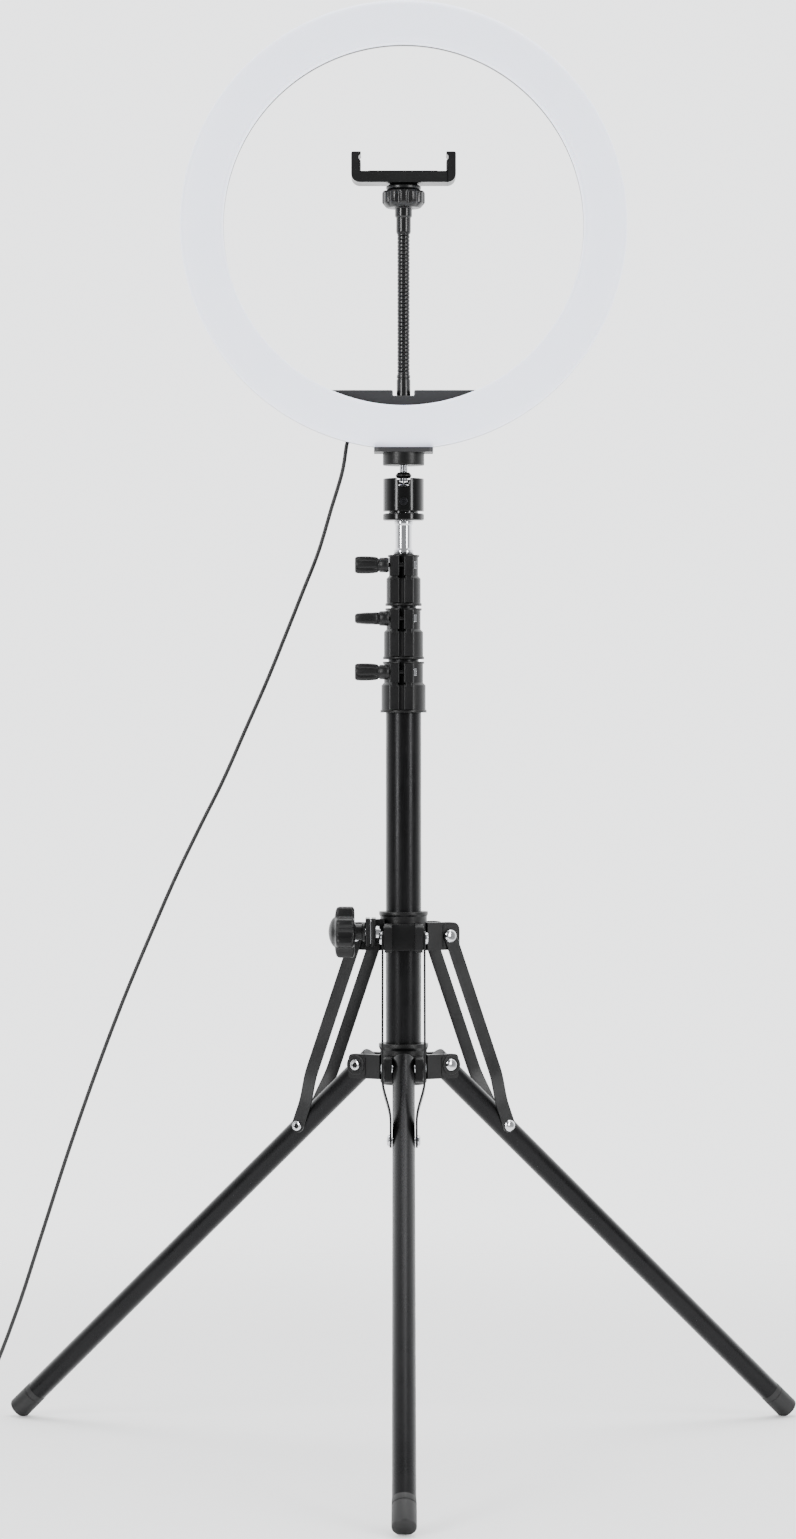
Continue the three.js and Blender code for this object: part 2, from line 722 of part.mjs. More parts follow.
function clipStem() {
  const top = clipFlangeZ + clipFlangeHeight;
  const centre = clipNutZ + gap + 1.2 + gap + clipBallR + 0.1;
  const profile = [];
  const steps = 5;
  const neckR = 4.4;
  const last = Math.PI / 2 - Math.asin(neckR / clipBallR);
  for (let i = 0; i <= steps; i += 1) {
    const angle = -Math.PI / 2 + (Math.PI / 2 + last) * i / steps;
    profile.push([Math.max(0, clipBallR * Math.cos(angle)), centre + clipBallR * Math.sin(angle)]);
  }
  profile[0][0] = 0;
  return neckPart([...profile, [neckR, clipFlangeZ], [clipFlangeR - 1.2, clipFlangeZ], [clipFlangeR, top], [0, top]], 16);
}

// The clip's outline in X and Z, a bar with a hooked arm at its left end, cut off at x = right.
function clipOutline(right) {
  const left = -clipWidth / 2;
  const top = clipBarZ + clipBarHeight;
  const tip = top + clipArmRise;
  const shape = new THREE.Shape();
  shape.moveTo(right, clipBarZ);
  shape.lineTo(left + clipCorner, clipBarZ);
  shape.quadraticCurveTo(left, clipBarZ, left, clipBarZ + clipCorner);
  shape.lineTo(left, tip);
  shape.lineTo(left + clipArm + clipHook, tip);
  shape.lineTo(left + clipArm, tip - 2.4);
  shape.lineTo(left + clipArm, top);
  shape.lineTo(right, top);
  return shape;
}

function clipBody() {
  const y0 = neckY - clipDepth / 2;
  const right = clipWidth / 2 - clipArm - gap;
  const z0 = clipBarZ + (clipBarHeight - tongueThick) / 2;
  const channel = box(
    [clipWidth / 2 - clipArm - tongueLength - 2, neckY - tongueHalf - gap, z0 - gap],
    [right + 1, neckY + tongueHalf + gap, z0 + tongueThick + gap],
  );
  return surface(solid(plateXZ(clipOutline(right), y0, y0 + clipDepth, 4)).subtract(solid(channel)));
}

function clipJaw() {
  const y0 = neckY - clipDepth / 2;
  const inside = clipWidth / 2 - clipArm;
  const z0 = clipBarZ + (clipBarHeight - tongueThick) / 2;
  const arm = plateXZ(clipOutline(-inside), y0, y0 + clipDepth, 4).scale(-1, 1, 1);
  const tongue = box(
    [inside - tongueLength, neckY - tongueHalf, z0],
    [inside + 1, neckY + tongueHalf, z0 + tongueThick],
  );
  return surface(solid(arm).add(solid(tongue)));
}

// ---- USB lead: strain relief, free run, controller, coil and plug

const exitZ = ringZ - Math.sqrt(housingOuterR ** 2 - leadExitX ** 2);
const exitWay = new THREE.Vector3(-Math.sin(leadExitTilt), 0, -Math.cos(leadExitTilt));
const exitPoint = new THREE.Vector3(leadExitX, neckY, exitZ).addScaledVector(exitWay, gap + 0.8);

function strainRelief() {
  const cone = turned([[0, 0], [reliefR, 0], [reliefR, 2], [leadR + 0.5, reliefLength], [0, reliefLength]], 12);
  const facing = new THREE.Quaternion().setFromUnitVectors(new THREE.Vector3(0, 0, 1), exitWay);
  return cone.applyQuaternion(facing).translate(exitPoint.x, exitPoint.y, exitPoint.z);
}

// The free run of the lead, from the strain relief to the controller on the floor.
const runPoints = [
  [-42.1, 19.8, 746.5], [-45.3, 19.8, 726.7], [-53.8, 19.8, 698], [-63.3, 20, 666.2],
  [-75, 20.5, 636.5], [-87.7, 21, 604.6], [-101.5, 21.5, 570.7], [-117.4, 22, 534.7],
  [-134.3, 23, 496.5], [-151.3, 24, 462.5], [-169, 25, 426], [-187, 26, 385],
  [-208, 27, 335], [-229, 28, 280], [-250, 29, 220], [-270, 30, 158],
  [-289, 31, 100], [-308, 32, 52], [-328, 34, 17], [-350, 39, 3.2],
  [-367, 51, 1.7], [-373, 68, 2.4], [-373, 82, 4.8],
].map((place) => new THREE.Vector3(...place));

const controllerY = runPoints[runPoints.length - 1].y + gap + 8;
const controllerX = runPoints[runPoints.length - 1].x;

function leadRun() {
  const start = exitPoint.clone().addScaledVector(exitWay, reliefLength + gap);
  const path = new THREE.CatmullRomCurve3([start, ...runPoints], false, 'centripetal');
  const section = new THREE.Shape();
  section.absarc(0, 0, leadR, 0, Math.PI * 2, false);
  return new THREE.ExtrudeGeometry(section, { steps: 60, curveSegments: 4, extrudePath: path, bevelEnabled: false });
}

function controller() {
  const [x, y] = [controllerX, controllerY];
  const [w, l, h] = [controllerWidth / 2, controllerLength, controllerHeight];
  const shape = new THREE.Shape();
  shape.moveTo(-w + 2, y);
  shape.lineTo(w - 2, y);
  shape.quadraticCurveTo(w, y, w, y + 5);
  shape.lineTo(w, y + l - 5);
  shape.quadraticCurveTo(w, y + l, w - 2, y + l);
  shape.lineTo(-w + 2, y + l);
  shape.quadraticCurveTo(-w, y + l, -w, y + l - 5);
  shape.lineTo(-w, y + 5);
  shape.quadraticCurveTo(-w, y, -w + 2, y);
  const slab = new THREE.ExtrudeGeometry(shape, { depth: h - 0.2, bevelEnabled: false, curveSegments: 2 });
  let body = solid(slab.translate(x, 0, 0.2));
  const nose = bar('y', leadR + 1.2, y - 7.7, y + 1, [x, controllerHeight / 2], 8);
  const tail = bar('y', leadR + 1.2, y + l - 1, y + l + 7.7, [x, controllerHeight / 2], 8);
  body = body.add(solid(nose)).add(solid(tail));
  for (const place of buttonPlaces()) {
    body = body.subtract(solid(bar('z', buttonR + gap, h - 3.4, h + 1, place, 12)));
  }
  return surface(body);
}

function buttonPlaces() {
  const middle = controllerY + controllerLength / 2;
  return [-1, 0, 1].map((i) => [controllerX, middle + i * buttonSpacing]);
}

function button(place) {
  const top = controllerHeight + buttonProud;
  const low = controllerHeight - 3.4 + 1.3;
  return turned([[0, low], [buttonR, low], [buttonR, top - 0.4], [buttonR - 0.4, top], [0, top]], 12)
    .translate(place[0], place[1], 0);
}

const coilX = controllerX + coilMiddleR;
const coilY = controllerY + controllerLength + 7.7 + gap + 16;

function leadCoil() {
  const section = [];
  for (let i = 0; i < 8; i += 1) {
    const angle = i / 8 * 2 * Math.PI;
    section.push([coilMiddleR + coilSectionR * Math.cos(angle), coilSectionR + 0.1 + coilSectionR * Math.sin(angle)]);
  }
  return turned(loop(section), 20).translate(coilX, coilY, 0);
}

function usbPlug() {
  const x = coilX;
  const y = coilY + coilMiddleR + coilSectionR + 1 + plugWidth / 2;
  const half = plugWidth / 2;
  const body = box([x - plugLength / 2, y - half, 0.2], [x + plugLength / 2 - 12, y + half, plugHeight]);
  const shellBox = box([x + plugLength / 2 - 13, y - 6, 2], [x + plugLength / 2, y + 6, 6.5]);
  const mouth = box([x + plugLength / 2 - 8, y - 5.7, 4], [x + plugLength / 2 + 1, y + 5.7, 6.2]);
  return surface(solid(body).add(solid(shellBox)).subtract(solid(mouth)));
}

// ---------------------------------------------------------------- build

piece(group, 'lower_hub', lowerHub(), blackPlastic);
['main_tube', 'mast_tube_2', 'mast_tube_3', 'mast_tube_4'].forEach((name, i) => {
  piece(group, name, tube(tubeR[i], sectionBottom(i), sectionTop(i)), anodised);
});
[0, 1, 2].forEach((i) => {
  piece(group, `lock_collar_${i + 1}`, lockCollar(i), blackPlastic);
  piece(group, `lock_knob_${i + 1}`, wingKnob(i), blackPlastic);
});

piece(group, 'sliding_collar', slidingCollar(), blackPlastic);
piece(group, 'star_knob', starKnob(), blackPlastic);

legAzimuths.forEach((azimuth, i) => {
  const leg = new THREE.Group();
  leg.rotation.z = turn(azimuth);
  group.add(leg);
  piece(leg, `leg_tube_${i + 1}`, legTube(), anodised);
  piece(leg, `foot_${i + 1}`, foot(), rubber);
  piece(leg, `leg_pin_${i + 1}`, legPin(), chrome);
  piece(leg, `strut_pin_${i + 1}`, strutPin(), chrome);
  piece(leg, `strut_${i + 1}_left`, strut(1), blackPaint);
  piece(leg, `strut_${i + 1}_right`, strut(-1), blackPaint);
});

piece(group, 'spigot', spigot(), chrome);
piece(group, 'head_ring', headRing(), anodised);
piece(group, 'ball_housing', ballHousing(), anodised);
piece(group, 'grub_screw', bar('y', grubR, -headR + 0.2, -headR + 4.2, [0, headTopZ - grubDrop], 10), blackPaint);
piece(group, 'ball_stud', ballStud(), chrome);
piece(group, 'stud_flange', studFlange(), blackPlastic);

piece(group, 'mount_bracket', mountBracket(), shellPlastic);
piece(group, 'ring_diffuser', ringDiffuser(), opal);
piece(group, 'ring_shell', ringShell(), shellPlastic);
piece(group, 'led_board', ledBoard(), board);
piece(group, 'control_housing', controlHousing(), shellPlastic);
piece(group, 'control_cover', controlCover(), shellPlastic);

const neckMiddle = gooseneckZ + gooseneckLength / 2;
piece(group, 'neck_ferrule', neckFerrule(), blackPaint);
piece(group, 'gooseneck_lower', gooseneckHalf(gooseneckZ, neckMiddle - gap / 2), blackPaint);
piece(group, 'gooseneck_upper', gooseneckHalf(neckMiddle + gap / 2, gooseneckZ + gooseneckLength), blackPaint);
piece(group, 'top_ferrule', topFerrule(), blackPaint);
piece(group, 'clip_nut', clipNut(), blackPlastic);
piece(group, 'clip_stem', clipStem(), blackPlastic);
piece(group, 'clip_body', clipBody(), blackPlastic);
piece(group, 'clip_jaw', clipJaw(), blackPlastic);

piece(group, 'strain_relief', strainRelief(), rubber);
piece(group, 'lead_run', leadRun(), rubber);
piece(group, 'lead_controller', controller(), blackPlastic);
['power_button', 'mode_button', 'dimmer_button'].forEach((name, i) => {
  piece(group, name, button(buttonPlaces()[i]), rubber);
});
piece(group, 'lead_coil', leadCoil(), rubber);
piece(group, 'usb_plug', usbPlug(), blackPlastic);

// Stand the object, without its lead, on its box's bottom centre.
const leadPieces = ['strain_relief', 'lead_', 'usb_', '_button'];
const standing = new THREE.Box3();
group.updateMatrixWorld(true);
group.traverse((node) => {
  if (node.isMesh && !leadPieces.some((part) => node.name.includes(part))) standing.expandByObject(node);
});
const middle = standing.getCenter(new THREE.Vector3());
group.position.set(-middle.x, -middle.y, -standing.min.z);

export default group;
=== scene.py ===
import math

import bmesh
import bpy
from mathutils import Matrix, Vector


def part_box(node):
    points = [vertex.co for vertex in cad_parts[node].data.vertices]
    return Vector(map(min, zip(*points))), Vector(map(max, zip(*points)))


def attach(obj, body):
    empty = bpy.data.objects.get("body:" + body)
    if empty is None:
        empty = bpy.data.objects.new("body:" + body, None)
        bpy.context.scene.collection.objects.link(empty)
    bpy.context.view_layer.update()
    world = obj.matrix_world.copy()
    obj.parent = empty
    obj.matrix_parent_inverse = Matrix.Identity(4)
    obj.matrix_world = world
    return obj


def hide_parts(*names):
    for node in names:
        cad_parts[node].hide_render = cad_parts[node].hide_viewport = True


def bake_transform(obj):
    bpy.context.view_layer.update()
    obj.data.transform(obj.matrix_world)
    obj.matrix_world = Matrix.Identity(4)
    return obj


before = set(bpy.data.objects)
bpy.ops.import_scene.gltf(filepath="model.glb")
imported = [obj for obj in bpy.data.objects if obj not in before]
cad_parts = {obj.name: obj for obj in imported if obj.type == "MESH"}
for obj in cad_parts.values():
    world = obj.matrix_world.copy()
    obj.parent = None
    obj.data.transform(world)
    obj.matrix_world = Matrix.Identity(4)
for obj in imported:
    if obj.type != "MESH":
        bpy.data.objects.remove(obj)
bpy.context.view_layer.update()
mast_lo, mast_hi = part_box("main_tube")
AXIS = Vector(((mast_lo.x + mast_hi.x) / 2, (mast_lo.y + mast_hi.y) / 2, 0))
MM = 0.001


# The view: a long lens about three metres in front of the mast, at half its height, tipped
# down by less than a degree.
lens = bpy.data.cameras.new("camera")
lens.sensor_width = 36
lens.lens = 105.07
lens.clip_start = 0.1
lens.clip_end = 60
camera = bpy.data.objects.new("camera", lens)
camera.location = (AXIS.x - 0.0041, AXIS.y - 3.3209, 0.5419)
camera.rotation_euler = (math.radians(90 - 0.64), 0, 0)
bpy.context.scene.collection.objects.link(camera)
bpy.context.scene.camera = camera


# Lead: a 3 mm round lead with a soft black PVC sheath. It leaves the control housing by a
# rubber bush, hangs down beside the mast in one long lazy bow and lies on the floor.
def linear(code):
    """An sRGB hex colour as linear RGBA."""
    out = []
    for i in (1, 3, 5):
        c = int(code[i:i + 2], 16) / 255
        out.append(c / 12.92 if c <= 0.04045 else ((c + 0.055) / 1.055) ** 2.4)
    return (*out, 1.0)


def add(tree, kind, sockets=None, **settings):
    """One shader node, with its settings, its socket values and its links."""
    node = tree.nodes.new("ShaderNode" + kind)
    for key, value in settings.items():
        setattr(node, key, value)
    for key, value in (sockets or {}).items():
        if isinstance(value, bpy.types.NodeSocket):
            tree.links.new(value, node.inputs[key])
        else:
            node.inputs[key].default_value = value
    return node


def finish(name, colour, rough, metal=0.0, grain=0.4, depth=0.02, stretch=(1, 1, 1), tint=0.15,
           vary=0.08, marks=0.0, **sockets):
    """A finish in real sizes: grain and depth in mm, stretch along an axis, marks are hairlines.

    The shading drifts over patches about 26 mm across, and hairlines lie about a millimetre apart,
    coarser than on the real surface so that they show.
    """
    material = bpy.data.materials.new(name)
    material.use_nodes = True
    tree = material.node_tree
    shader = tree.nodes["Principled BSDF"]
    place = add(tree, "TexCoord").outputs["Object"]
    drawn = add(tree, "Mapping", {"Vector": place, "Scale": stretch}).outputs[0]
    fine = add(tree, "TexNoise", {
        "Vector": drawn, "Scale": 1 / (grain * MM), "Detail": 3.0, "Roughness": 0.6,
    }).outputs["Fac"]
    cloudy = add(tree, "TexNoise", {"Vector": place, "Scale": 38.0, "Detail": 5.0}).outputs["Fac"]
    base = linear(colour)
    shades = [tuple(min(1, c * k) for c in base[:3]) + (1.0,) for k in (1 - tint, 1 + tint)]
    patch = add(tree, "MapRange", {
        "Value": cloudy, "From Min": 0.3, "From Max": 0.7, "To Min": 0.0, "To Max": 1.0,
    }).outputs[0]
    mixed = add(tree, "Mix", {"Factor": patch, 6: shades[0], 7: shades[1]}, data_type="RGBA").outputs[2]
    both = add(tree, "Math", {0: fine, 1: cloudy}, operation="ADD").outputs[0]
    worn = add(tree, "MapRange", {
        "Value": both, "From Min": 0.7, "From Max": 1.3, "To Min": rough - vary, "To Max": rough + vary,
    }).outputs[0]
    if marks:
        lines = add(tree, "Mapping", {
            "Vector": place, "Rotation": (0.35, 0.2, 0.9), "Scale": (1, 1, 0.04),
        }).outputs[0]
        hair = add(tree, "TexVoronoi", {"Vector": lines, "Scale": 900.0},
                   feature="DISTANCE_TO_EDGE").outputs[0]
        line = add(tree, "MapRange", {
            "Value": hair, "From Min": 0.0, "From Max": 0.05, "To Min": marks, "To Max": 0.0,
        }).outputs[0]
        worn = add(tree, "Math", {0: worn, 1: line}, operation="ADD").outputs[0]
    relief = add(tree, "Bump", {"Height": fine, "Distance": depth * MM, "Strength": 1.0}).outputs[0]
    tree.links.new(mixed, shader.inputs["Base Color"])
    tree.links.new(worn, shader.inputs["Roughness"])
    tree.links.new(relief, shader.inputs["Normal"])
    shader.inputs["Metallic"].default_value = metal
    for key, value in sockets.items():
        shader.inputs[key.replace("_", " ")].default_value = value
    return material


def made(name, body, shape, material, replaces=(), sharp=34, bevel=0.0, where=None, steps=2):
    """An object from a bmesh in mm about the mast's axis. body is one CAD body, or None."""
    if where is not None:
        shape.transform(where)
    shape.transform(Matrix.Translation(AXIS) @ Matrix.Scale(MM, 4))
    bmesh.ops.recalc_face_normals(shape, faces=shape.faces)
    mesh = bpy.data.meshes.new(name)
    shape.to_mesh(mesh)
    shape.free()
    mesh.materials.append(material)
    mesh.polygons.foreach_set("use_smooth", [True] * len(mesh.polygons))
    obj = bpy.data.objects.new(name, mesh)
    bpy.context.scene.collection.objects.link(obj)
    if bevel:
        edge = obj.modifiers.new("edge", "BEVEL")
        edge.width = bevel * MM
        edge.segments = steps
        edge.limit_method = "ANGLE"
        edge.angle_limit = math.radians(sharp)
        edge.harden_normals = True
    else:
        mesh.set_sharp_from_angle(angle=math.radians(sharp))
    if body:
        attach(obj, body)
    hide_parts(*replaces)
    return obj


def loft(sections, closed=False):
    """A skin through rings of points that all have the same count; closed joins last to first."""
    shape = bmesh.new()
    rings = [[shape.verts.new(p) for p in ring] for ring in sections]
    pairs = list(zip(rings, rings[1:])) + ([(rings[-1], rings[0])] if closed else [])
    for low, high in pairs:
        for i in range(len(low)):
            shape.faces.new((low[i - 1], low[i], high[i], high[i - 1]))
    if not closed:
        shape.faces.new(rings[0])
        shape.faces.new(rings[-1])
    return shape


def circle(radius, sides, height=0.0):
    """Points of a circle about Z."""
    turns = [2 * math.pi * i / sides for i in range(sides)]
    return [(radius * math.cos(t), radius * math.sin(t), height) for t in turns]


def tube(path, radius, sides=14):
    """A round section carried along a line of points, without twist."""
    line = [Vector(p) for p in path]
    sections = []
    across = None
    for i, point in enumerate(line):
        way = (line[min(i + 1, len(line) - 1)] - line[max(i - 1, 0)]).normalized()
        start = across if across is not None else way.orthogonal()
        across = (start - way * start.dot(way)).normalized()
        other = way.cross(across)
        sections.append([point + across * x + other * y for x, y, _ in circle(radius, sides)])
    return loft(sections)


def through(points, step=3.0):
    """A smooth line through points (centripetal), with a point about every step mm."""
    knots = [Vector(p) for p in points]
    knots = [2 * knots[0] - knots[1], *knots, 2 * knots[-1] - knots[-2]]
    line = [knots[1]]
    for a, b, c, d in zip(knots, knots[1:], knots[2:], knots[3:]):
        t = [0.0]
        for p, q in ((a, b), (b, c), (c, d)):
            t.append(t[-1] + max((q - p).length ** 0.5, 1e-6))
        count = max(1, round((c - b).length / step))
        for k in range(1, count + 1):
            u = t[1] + (t[2] - t[1]) * k / count
            ab = a.lerp(b, (u - t[0]) / (t[1] - t[0]))
            bc = b.lerp(c, (u - t[1]) / (t[2] - t[1]))
            cd = c.lerp(d, (u - t[2]) / (t[3] - t[2]))
            abc = ab.lerp(bc, (u - t[0]) / (t[2] - t[0]))
            bcd = bc.lerp(cd, (u - t[1]) / (t[3] - t[1]))
            line.append(abc.lerp(bcd, (u - t[1]) / (t[2] - t[1])))
    return line


def extent(node):
    """The low and the high corner of a CAD node, in mm about the mast's axis."""
    return [(corner - AXIS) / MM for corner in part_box(node)]


pvc = finish("soft black PVC sheath", "#0a0a0b", 0.42, grain=0.9, depth=0.012, tint=0.2)
LEAD_R = 1.5
hang = through([
    (-41.3, 19.8, 749.4), (-42.1, 19.8, 746.5), (-45.3, 19.8, 726.7), (-53.8, 19.8, 698),
    (-63.3, 20, 666.2), (-75, 20.5, 636.5), (-87.7, 21, 604.6), (-101.5, 21.5, 570.7),
    (-117.4, 22, 534.7), (-134.3, 23, 496.5), (-151.3, 24, 462.5), (-169, 25, 426),
    (-187, 26, 385), (-208, 27, 335), (-229, 28, 280), (-250, 29, 220), (-270, 30, 158),
    (-289, 31, 100), (-308, 32, 52), (-328, 34, 17), (-350, 39, 3.2), (-367, 51, 1.7),
    (-373, 68, 2.4), (-373, 82, 4.8),
])
case_lo, case_hi = extent("lead_controller")
coil_lo, coil_hi = extent("lead_coil")
coil_x, coil_y, coil_z = (coil_lo + coil_hi) / 2
plug_lo, plug_hi = extent("usb_plug")
plug_y = (plug_lo.y + plug_hi.y) / 2
COIL_R = 17.0
STRAND_OUT = 3.02
TURNS = 6
wound = []
for i in range(TURNS * 60 + 1):
    round_it = math.pi - 2 * math.pi * i / 60
    across = 2 * math.pi * (i / 60) / TURNS * 0.93 + 0.4
    reach = COIL_R + STRAND_OUT * math.cos(across)
    wound.append((
        coil_x + reach * math.cos(round_it), coil_y + reach * math.sin(round_it),
        coil_z + STRAND_OUT * math.sin(across),
    ))
floor_run = [p for p in hang if p.z < 120]
hang = [p for p in hang if p.z >= 120] + floor_run[:1]
to_coil = through([floor_run[-1], (-373, 92, 5.3), (-373, case_hi.y - 4, 5.3), (-373, case_hi.y + 6, 5.2),
                   wound[0]])
from_coil = through([
    wound[-1], (-377, coil_y + 9, 4.2), (-385, coil_y + 20, 2.2), (-387.5, plug_y - 5, 2.4),
    (-382, plug_y, 3.6), (plug_lo.x + 1, plug_y, 4.1),
])
floor_run = floor_run + to_coil[1:] + [Vector(p) for p in wound[1:]] + from_coil[1:]
CUTS = (
    ("lead_1", 704, "ring_head", "ball_head"), ("lead_2", 604, "ball_head", "mast_4"),
    ("lead_3", 482, "mast_4", "mast_3"), ("lead_4", 342, "mast_3", "mast_2"),
    ("lead_5", 0, "mast_2", "base"),
)
start = 0
for name, low, upper, lower in CUTS:
    end = max(i for i, p in enumerate(hang) if p.z >= low)
    piece = hang[start:end + 1]
    obj = made(name, None, tube(piece, LEAD_R), pvc)
    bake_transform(obj)
    start = end
lead_floor = made("lead_6", "base", tube(floor_run, LEAD_R), pvc, ["lead_run", "lead_coil"])


# Bush: a tapered black rubber bush moulded round the lead, ribbed so that it bends before the
# lead does, pressed into the rim of the control housing.
def turned(profile, sides=64, closed=False):
    """A body turned about Z from (radius, height) points; closed for a ring's section."""
    shape = bmesh.new()
    rings = []
    for point in profile:
        radius, height = point[:2]
        if radius < 1e-6:
            rings.append([shape.verts.new((0, 0, height))])
        else:
            rings.append([shape.verts.new(p) for p in circle(radius, sides, height)])
    pairs = list(zip(rings, rings[1:])) + ([(rings[-1], rings[0])] if closed else [])
    for low, high in pairs:
        for i in range(sides):
            j = (i + 1) % sides
            corners = [low[i % len(low)], low[j % len(low)], high[j % len(high)], high[i % len(high)]]
            shape.faces.new(list(dict.fromkeys(corners)))
    return shape


rubber = finish("moulded black rubber", "#050506", 0.55, grain=0.35, depth=0.03, tint=0.2)
bush_way = Vector((-math.sin(math.radians(15)), 0, -math.cos(math.radians(15))))
bush_top = Vector((-38.3, 19.8, 761.4))
bush = [(0, 0), (3.2, 0), (3.3, 1.2), (3.0, 2.0)]
for i in range(5):
    low = 2.4 + i * 1.9
    radius = 2.9 - i * 0.2
    bush += [(radius - 0.45, low), (radius - 0.45, low + 0.5), (radius, low + 0.8), (radius, low + 1.6)]
bush += [(1.9, 12.3), (0, 12.4)]
made(
    "strain_bush", "ring_head", turned(bush, 32), rubber, ["strain_relief"],
    where=Matrix.Translation(bush_top) @ bush_way.to_track_quat("Z", "Y").to_matrix().to_4x4(),
)


# Hand controller: two moulded black ABS halves with a parting line, noses where the lead goes
# through, and three silicone keys in a shallow well. It lies on the floor.
def rounded(points, steps=5, closed=True):
    """A line of points with its corners rounded: each point is (x, y) or (x, y, radius)."""
    out = []
    count = len(points)
    for k, point in enumerate(points):
        here = Vector(point[:2])
        if len(point) < 3 or (not closed and k in (0, count - 1)):
            out.append(tuple(here))
            continue
        back = Vector(points[k - 1][:2]) - here
        on = Vector(points[(k + 1) % count][:2]) - here
        half = back.angle(on) / 2
        run = min(point[2] / math.tan(half), back.length * 0.49, on.length * 0.49)
        a = here + back.normalized() * run
        b = here + on.normalized() * run
        for s in range(steps + 1):
            t = s / steps
            out.append(tuple(a * (1 - t) ** 2 + here * 2 * t * (1 - t) + b * t * t))
    return out


def slab(outline, low, high, holes=()):
    """A plate with an outline in XY, and holes, from height low to height high."""
    shape = bmesh.new()
    edges = []
    for ring in (outline, *holes):
        verts = [shape.verts.new((p[0], p[1], low)) for p in ring]
        edges += [shape.edges.new((verts[i - 1], verts[i])) for i in range(len(verts))]
    bmesh.ops.triangle_fill(shape, use_beauty=True, use_dissolve=False, edges=edges)
    grown = bmesh.ops.extrude_face_region(shape, geom=shape.faces[:])
    moved = [v for v in grown["geom"] if isinstance(v, bmesh.types.BMVert)]
    bmesh.ops.translate(shape, verts=moved, vec=(0, 0, high - low))
    return shape


def joined(*shapes):
    """Several bmeshes as one."""
    whole = bmesh.new()
    for shape in shapes:
        mesh = bpy.data.meshes.new("part")
        shape.to_mesh(mesh)
        shape.free()
        whole.from_mesh(mesh)
        bpy.data.meshes.remove(mesh)
    return whole


def placed(shape, matrix):
    """The bmesh, moved by the matrix."""
    shape.transform(matrix)
    return shape


def shift(x=0.0, y=0.0, z=0.0):
    """A move in mm."""
    return Matrix.Translation((x, y, z))


def spin(degrees, axis):
    """A turn about an axis."""
    return Matrix.Rotation(math.radians(degrees), 4, axis)


def lathe(profile, sides):
    """A solid body turned about Z, its profile's corners rounded."""
    return turned(rounded(profile, closed=False), sides)


def hoop(section, sides, steps=5):
    """A hollow body turned about Z, its section's corners rounded."""
    return turned(rounded(section, steps), sides, True)


lead_abs = finish("moulded black ABS with a semi-gloss", "#202023", 0.33, grain=0.5, depth=0.006, marks=0.12)
keys = finish("black silicone key", "#232325", 0.62, grain=0.3, depth=0.012)
print_white = finish("white pad print", "#d7d8da", 0.6, grain=0.3, depth=0.004)
case_x, case_half, case_top = (case_lo.x + case_hi.x) / 2, (case_hi.x - case_lo.x) / 2, case_hi.z
case_front, case_back = case_lo.y + 7.7, case_hi.y - 7.7
case = [
    (case_x - case_half, case_front, 5), (case_x + case_half, case_front, 5),
    (case_x + case_half, case_back, 5), (case_x - case_half, case_back, 5),
]
SEAM = 0.35
seam = [
    (x + math.copysign(SEAM, case_x - x), y + (SEAM if y == case_front else -SEAM), r) for x, y, r in case
]
well = [(case_x - 7.5, case_front + 14, 5), (case_x + 7.5, case_front + 14, 5),
        (case_x + 7.5, case_back - 14, 5), (case_x - 7.5, case_back - 14, 5)]
nose = [(0, 0), (2.2, 0), (2.6, 0.8), (2.7, 3), (2.9, 3.4), (2.9, 4.4), (2.7, 4.8), (3.0, 8.4), (0, 8.4)]
controller = made("controller_case", "base", joined(
    slab(rounded(case), 0.3, 5.1), slab(rounded(seam), 5.0, 5.5), slab(rounded(case), 5.4, case_top - 0.5),
    slab(rounded(case, 4), case_top - 0.6, case_top, [rounded(well)]),
), lead_abs, ["lead_controller"], bevel=0.8)
noses = made("controller_noses", "base", joined(
    placed(turned(nose, 32), shift(case_x, case_lo.y, 5.3) @ spin(-90, "X")),
    placed(turned(nose, 32), shift(case_x, case_hi.y, 5.3) @ spin(90, "X")),
), rubber)
for k, key in enumerate(("power_button", "mode_button", "dimmer_button")):
    lo, hi = extent(key)
    centre = (lo + hi) / 2
    top = hi.z
    mark = top - 0.35
    made(key + "_cap", key, lathe([
        (0, lo.z), (4.2, lo.z), (4.2, top, 0.8), (3.0, top, 0.4), (2.4, mark, 0.4), (0, mark),
    ], 40), keys, [key], where=shift(centre.x, centre.y))
    bar = [(-1.3, -0.16), (1.3, -0.16), (1.3, 0.16), (-1.3, 0.16)]
    turns = (0, 90) if k != 2 else (0,)
    bars = [placed(slab(bar, mark, mark + 0.05), spin(turn, "Z")) for turn in turns]
    made(key + "_mark", key, joined(*bars), print_white,
                          where=shift(centre.x, centre.y))


# Coil tie and plug: a flat black tie holds the spare lead in a hank. The plug is a moulded
# black grip with a folded bright steel shell, square mouth outwards.
def superellipse(a, b, power, sides=40):
    """A ring of (u, v) between an ellipse (power 2) and a box with half sizes a and b."""
    out = []
    for i in range(sides):
        c, s = math.cos(2 * math.pi * i / sides), math.sin(2 * math.pi * i / sides)
        out.append((
            math.copysign(a * abs(c) ** (2 / power), c), math.copysign(b * abs(s) ** (2 / power), s),
        ))
    return out


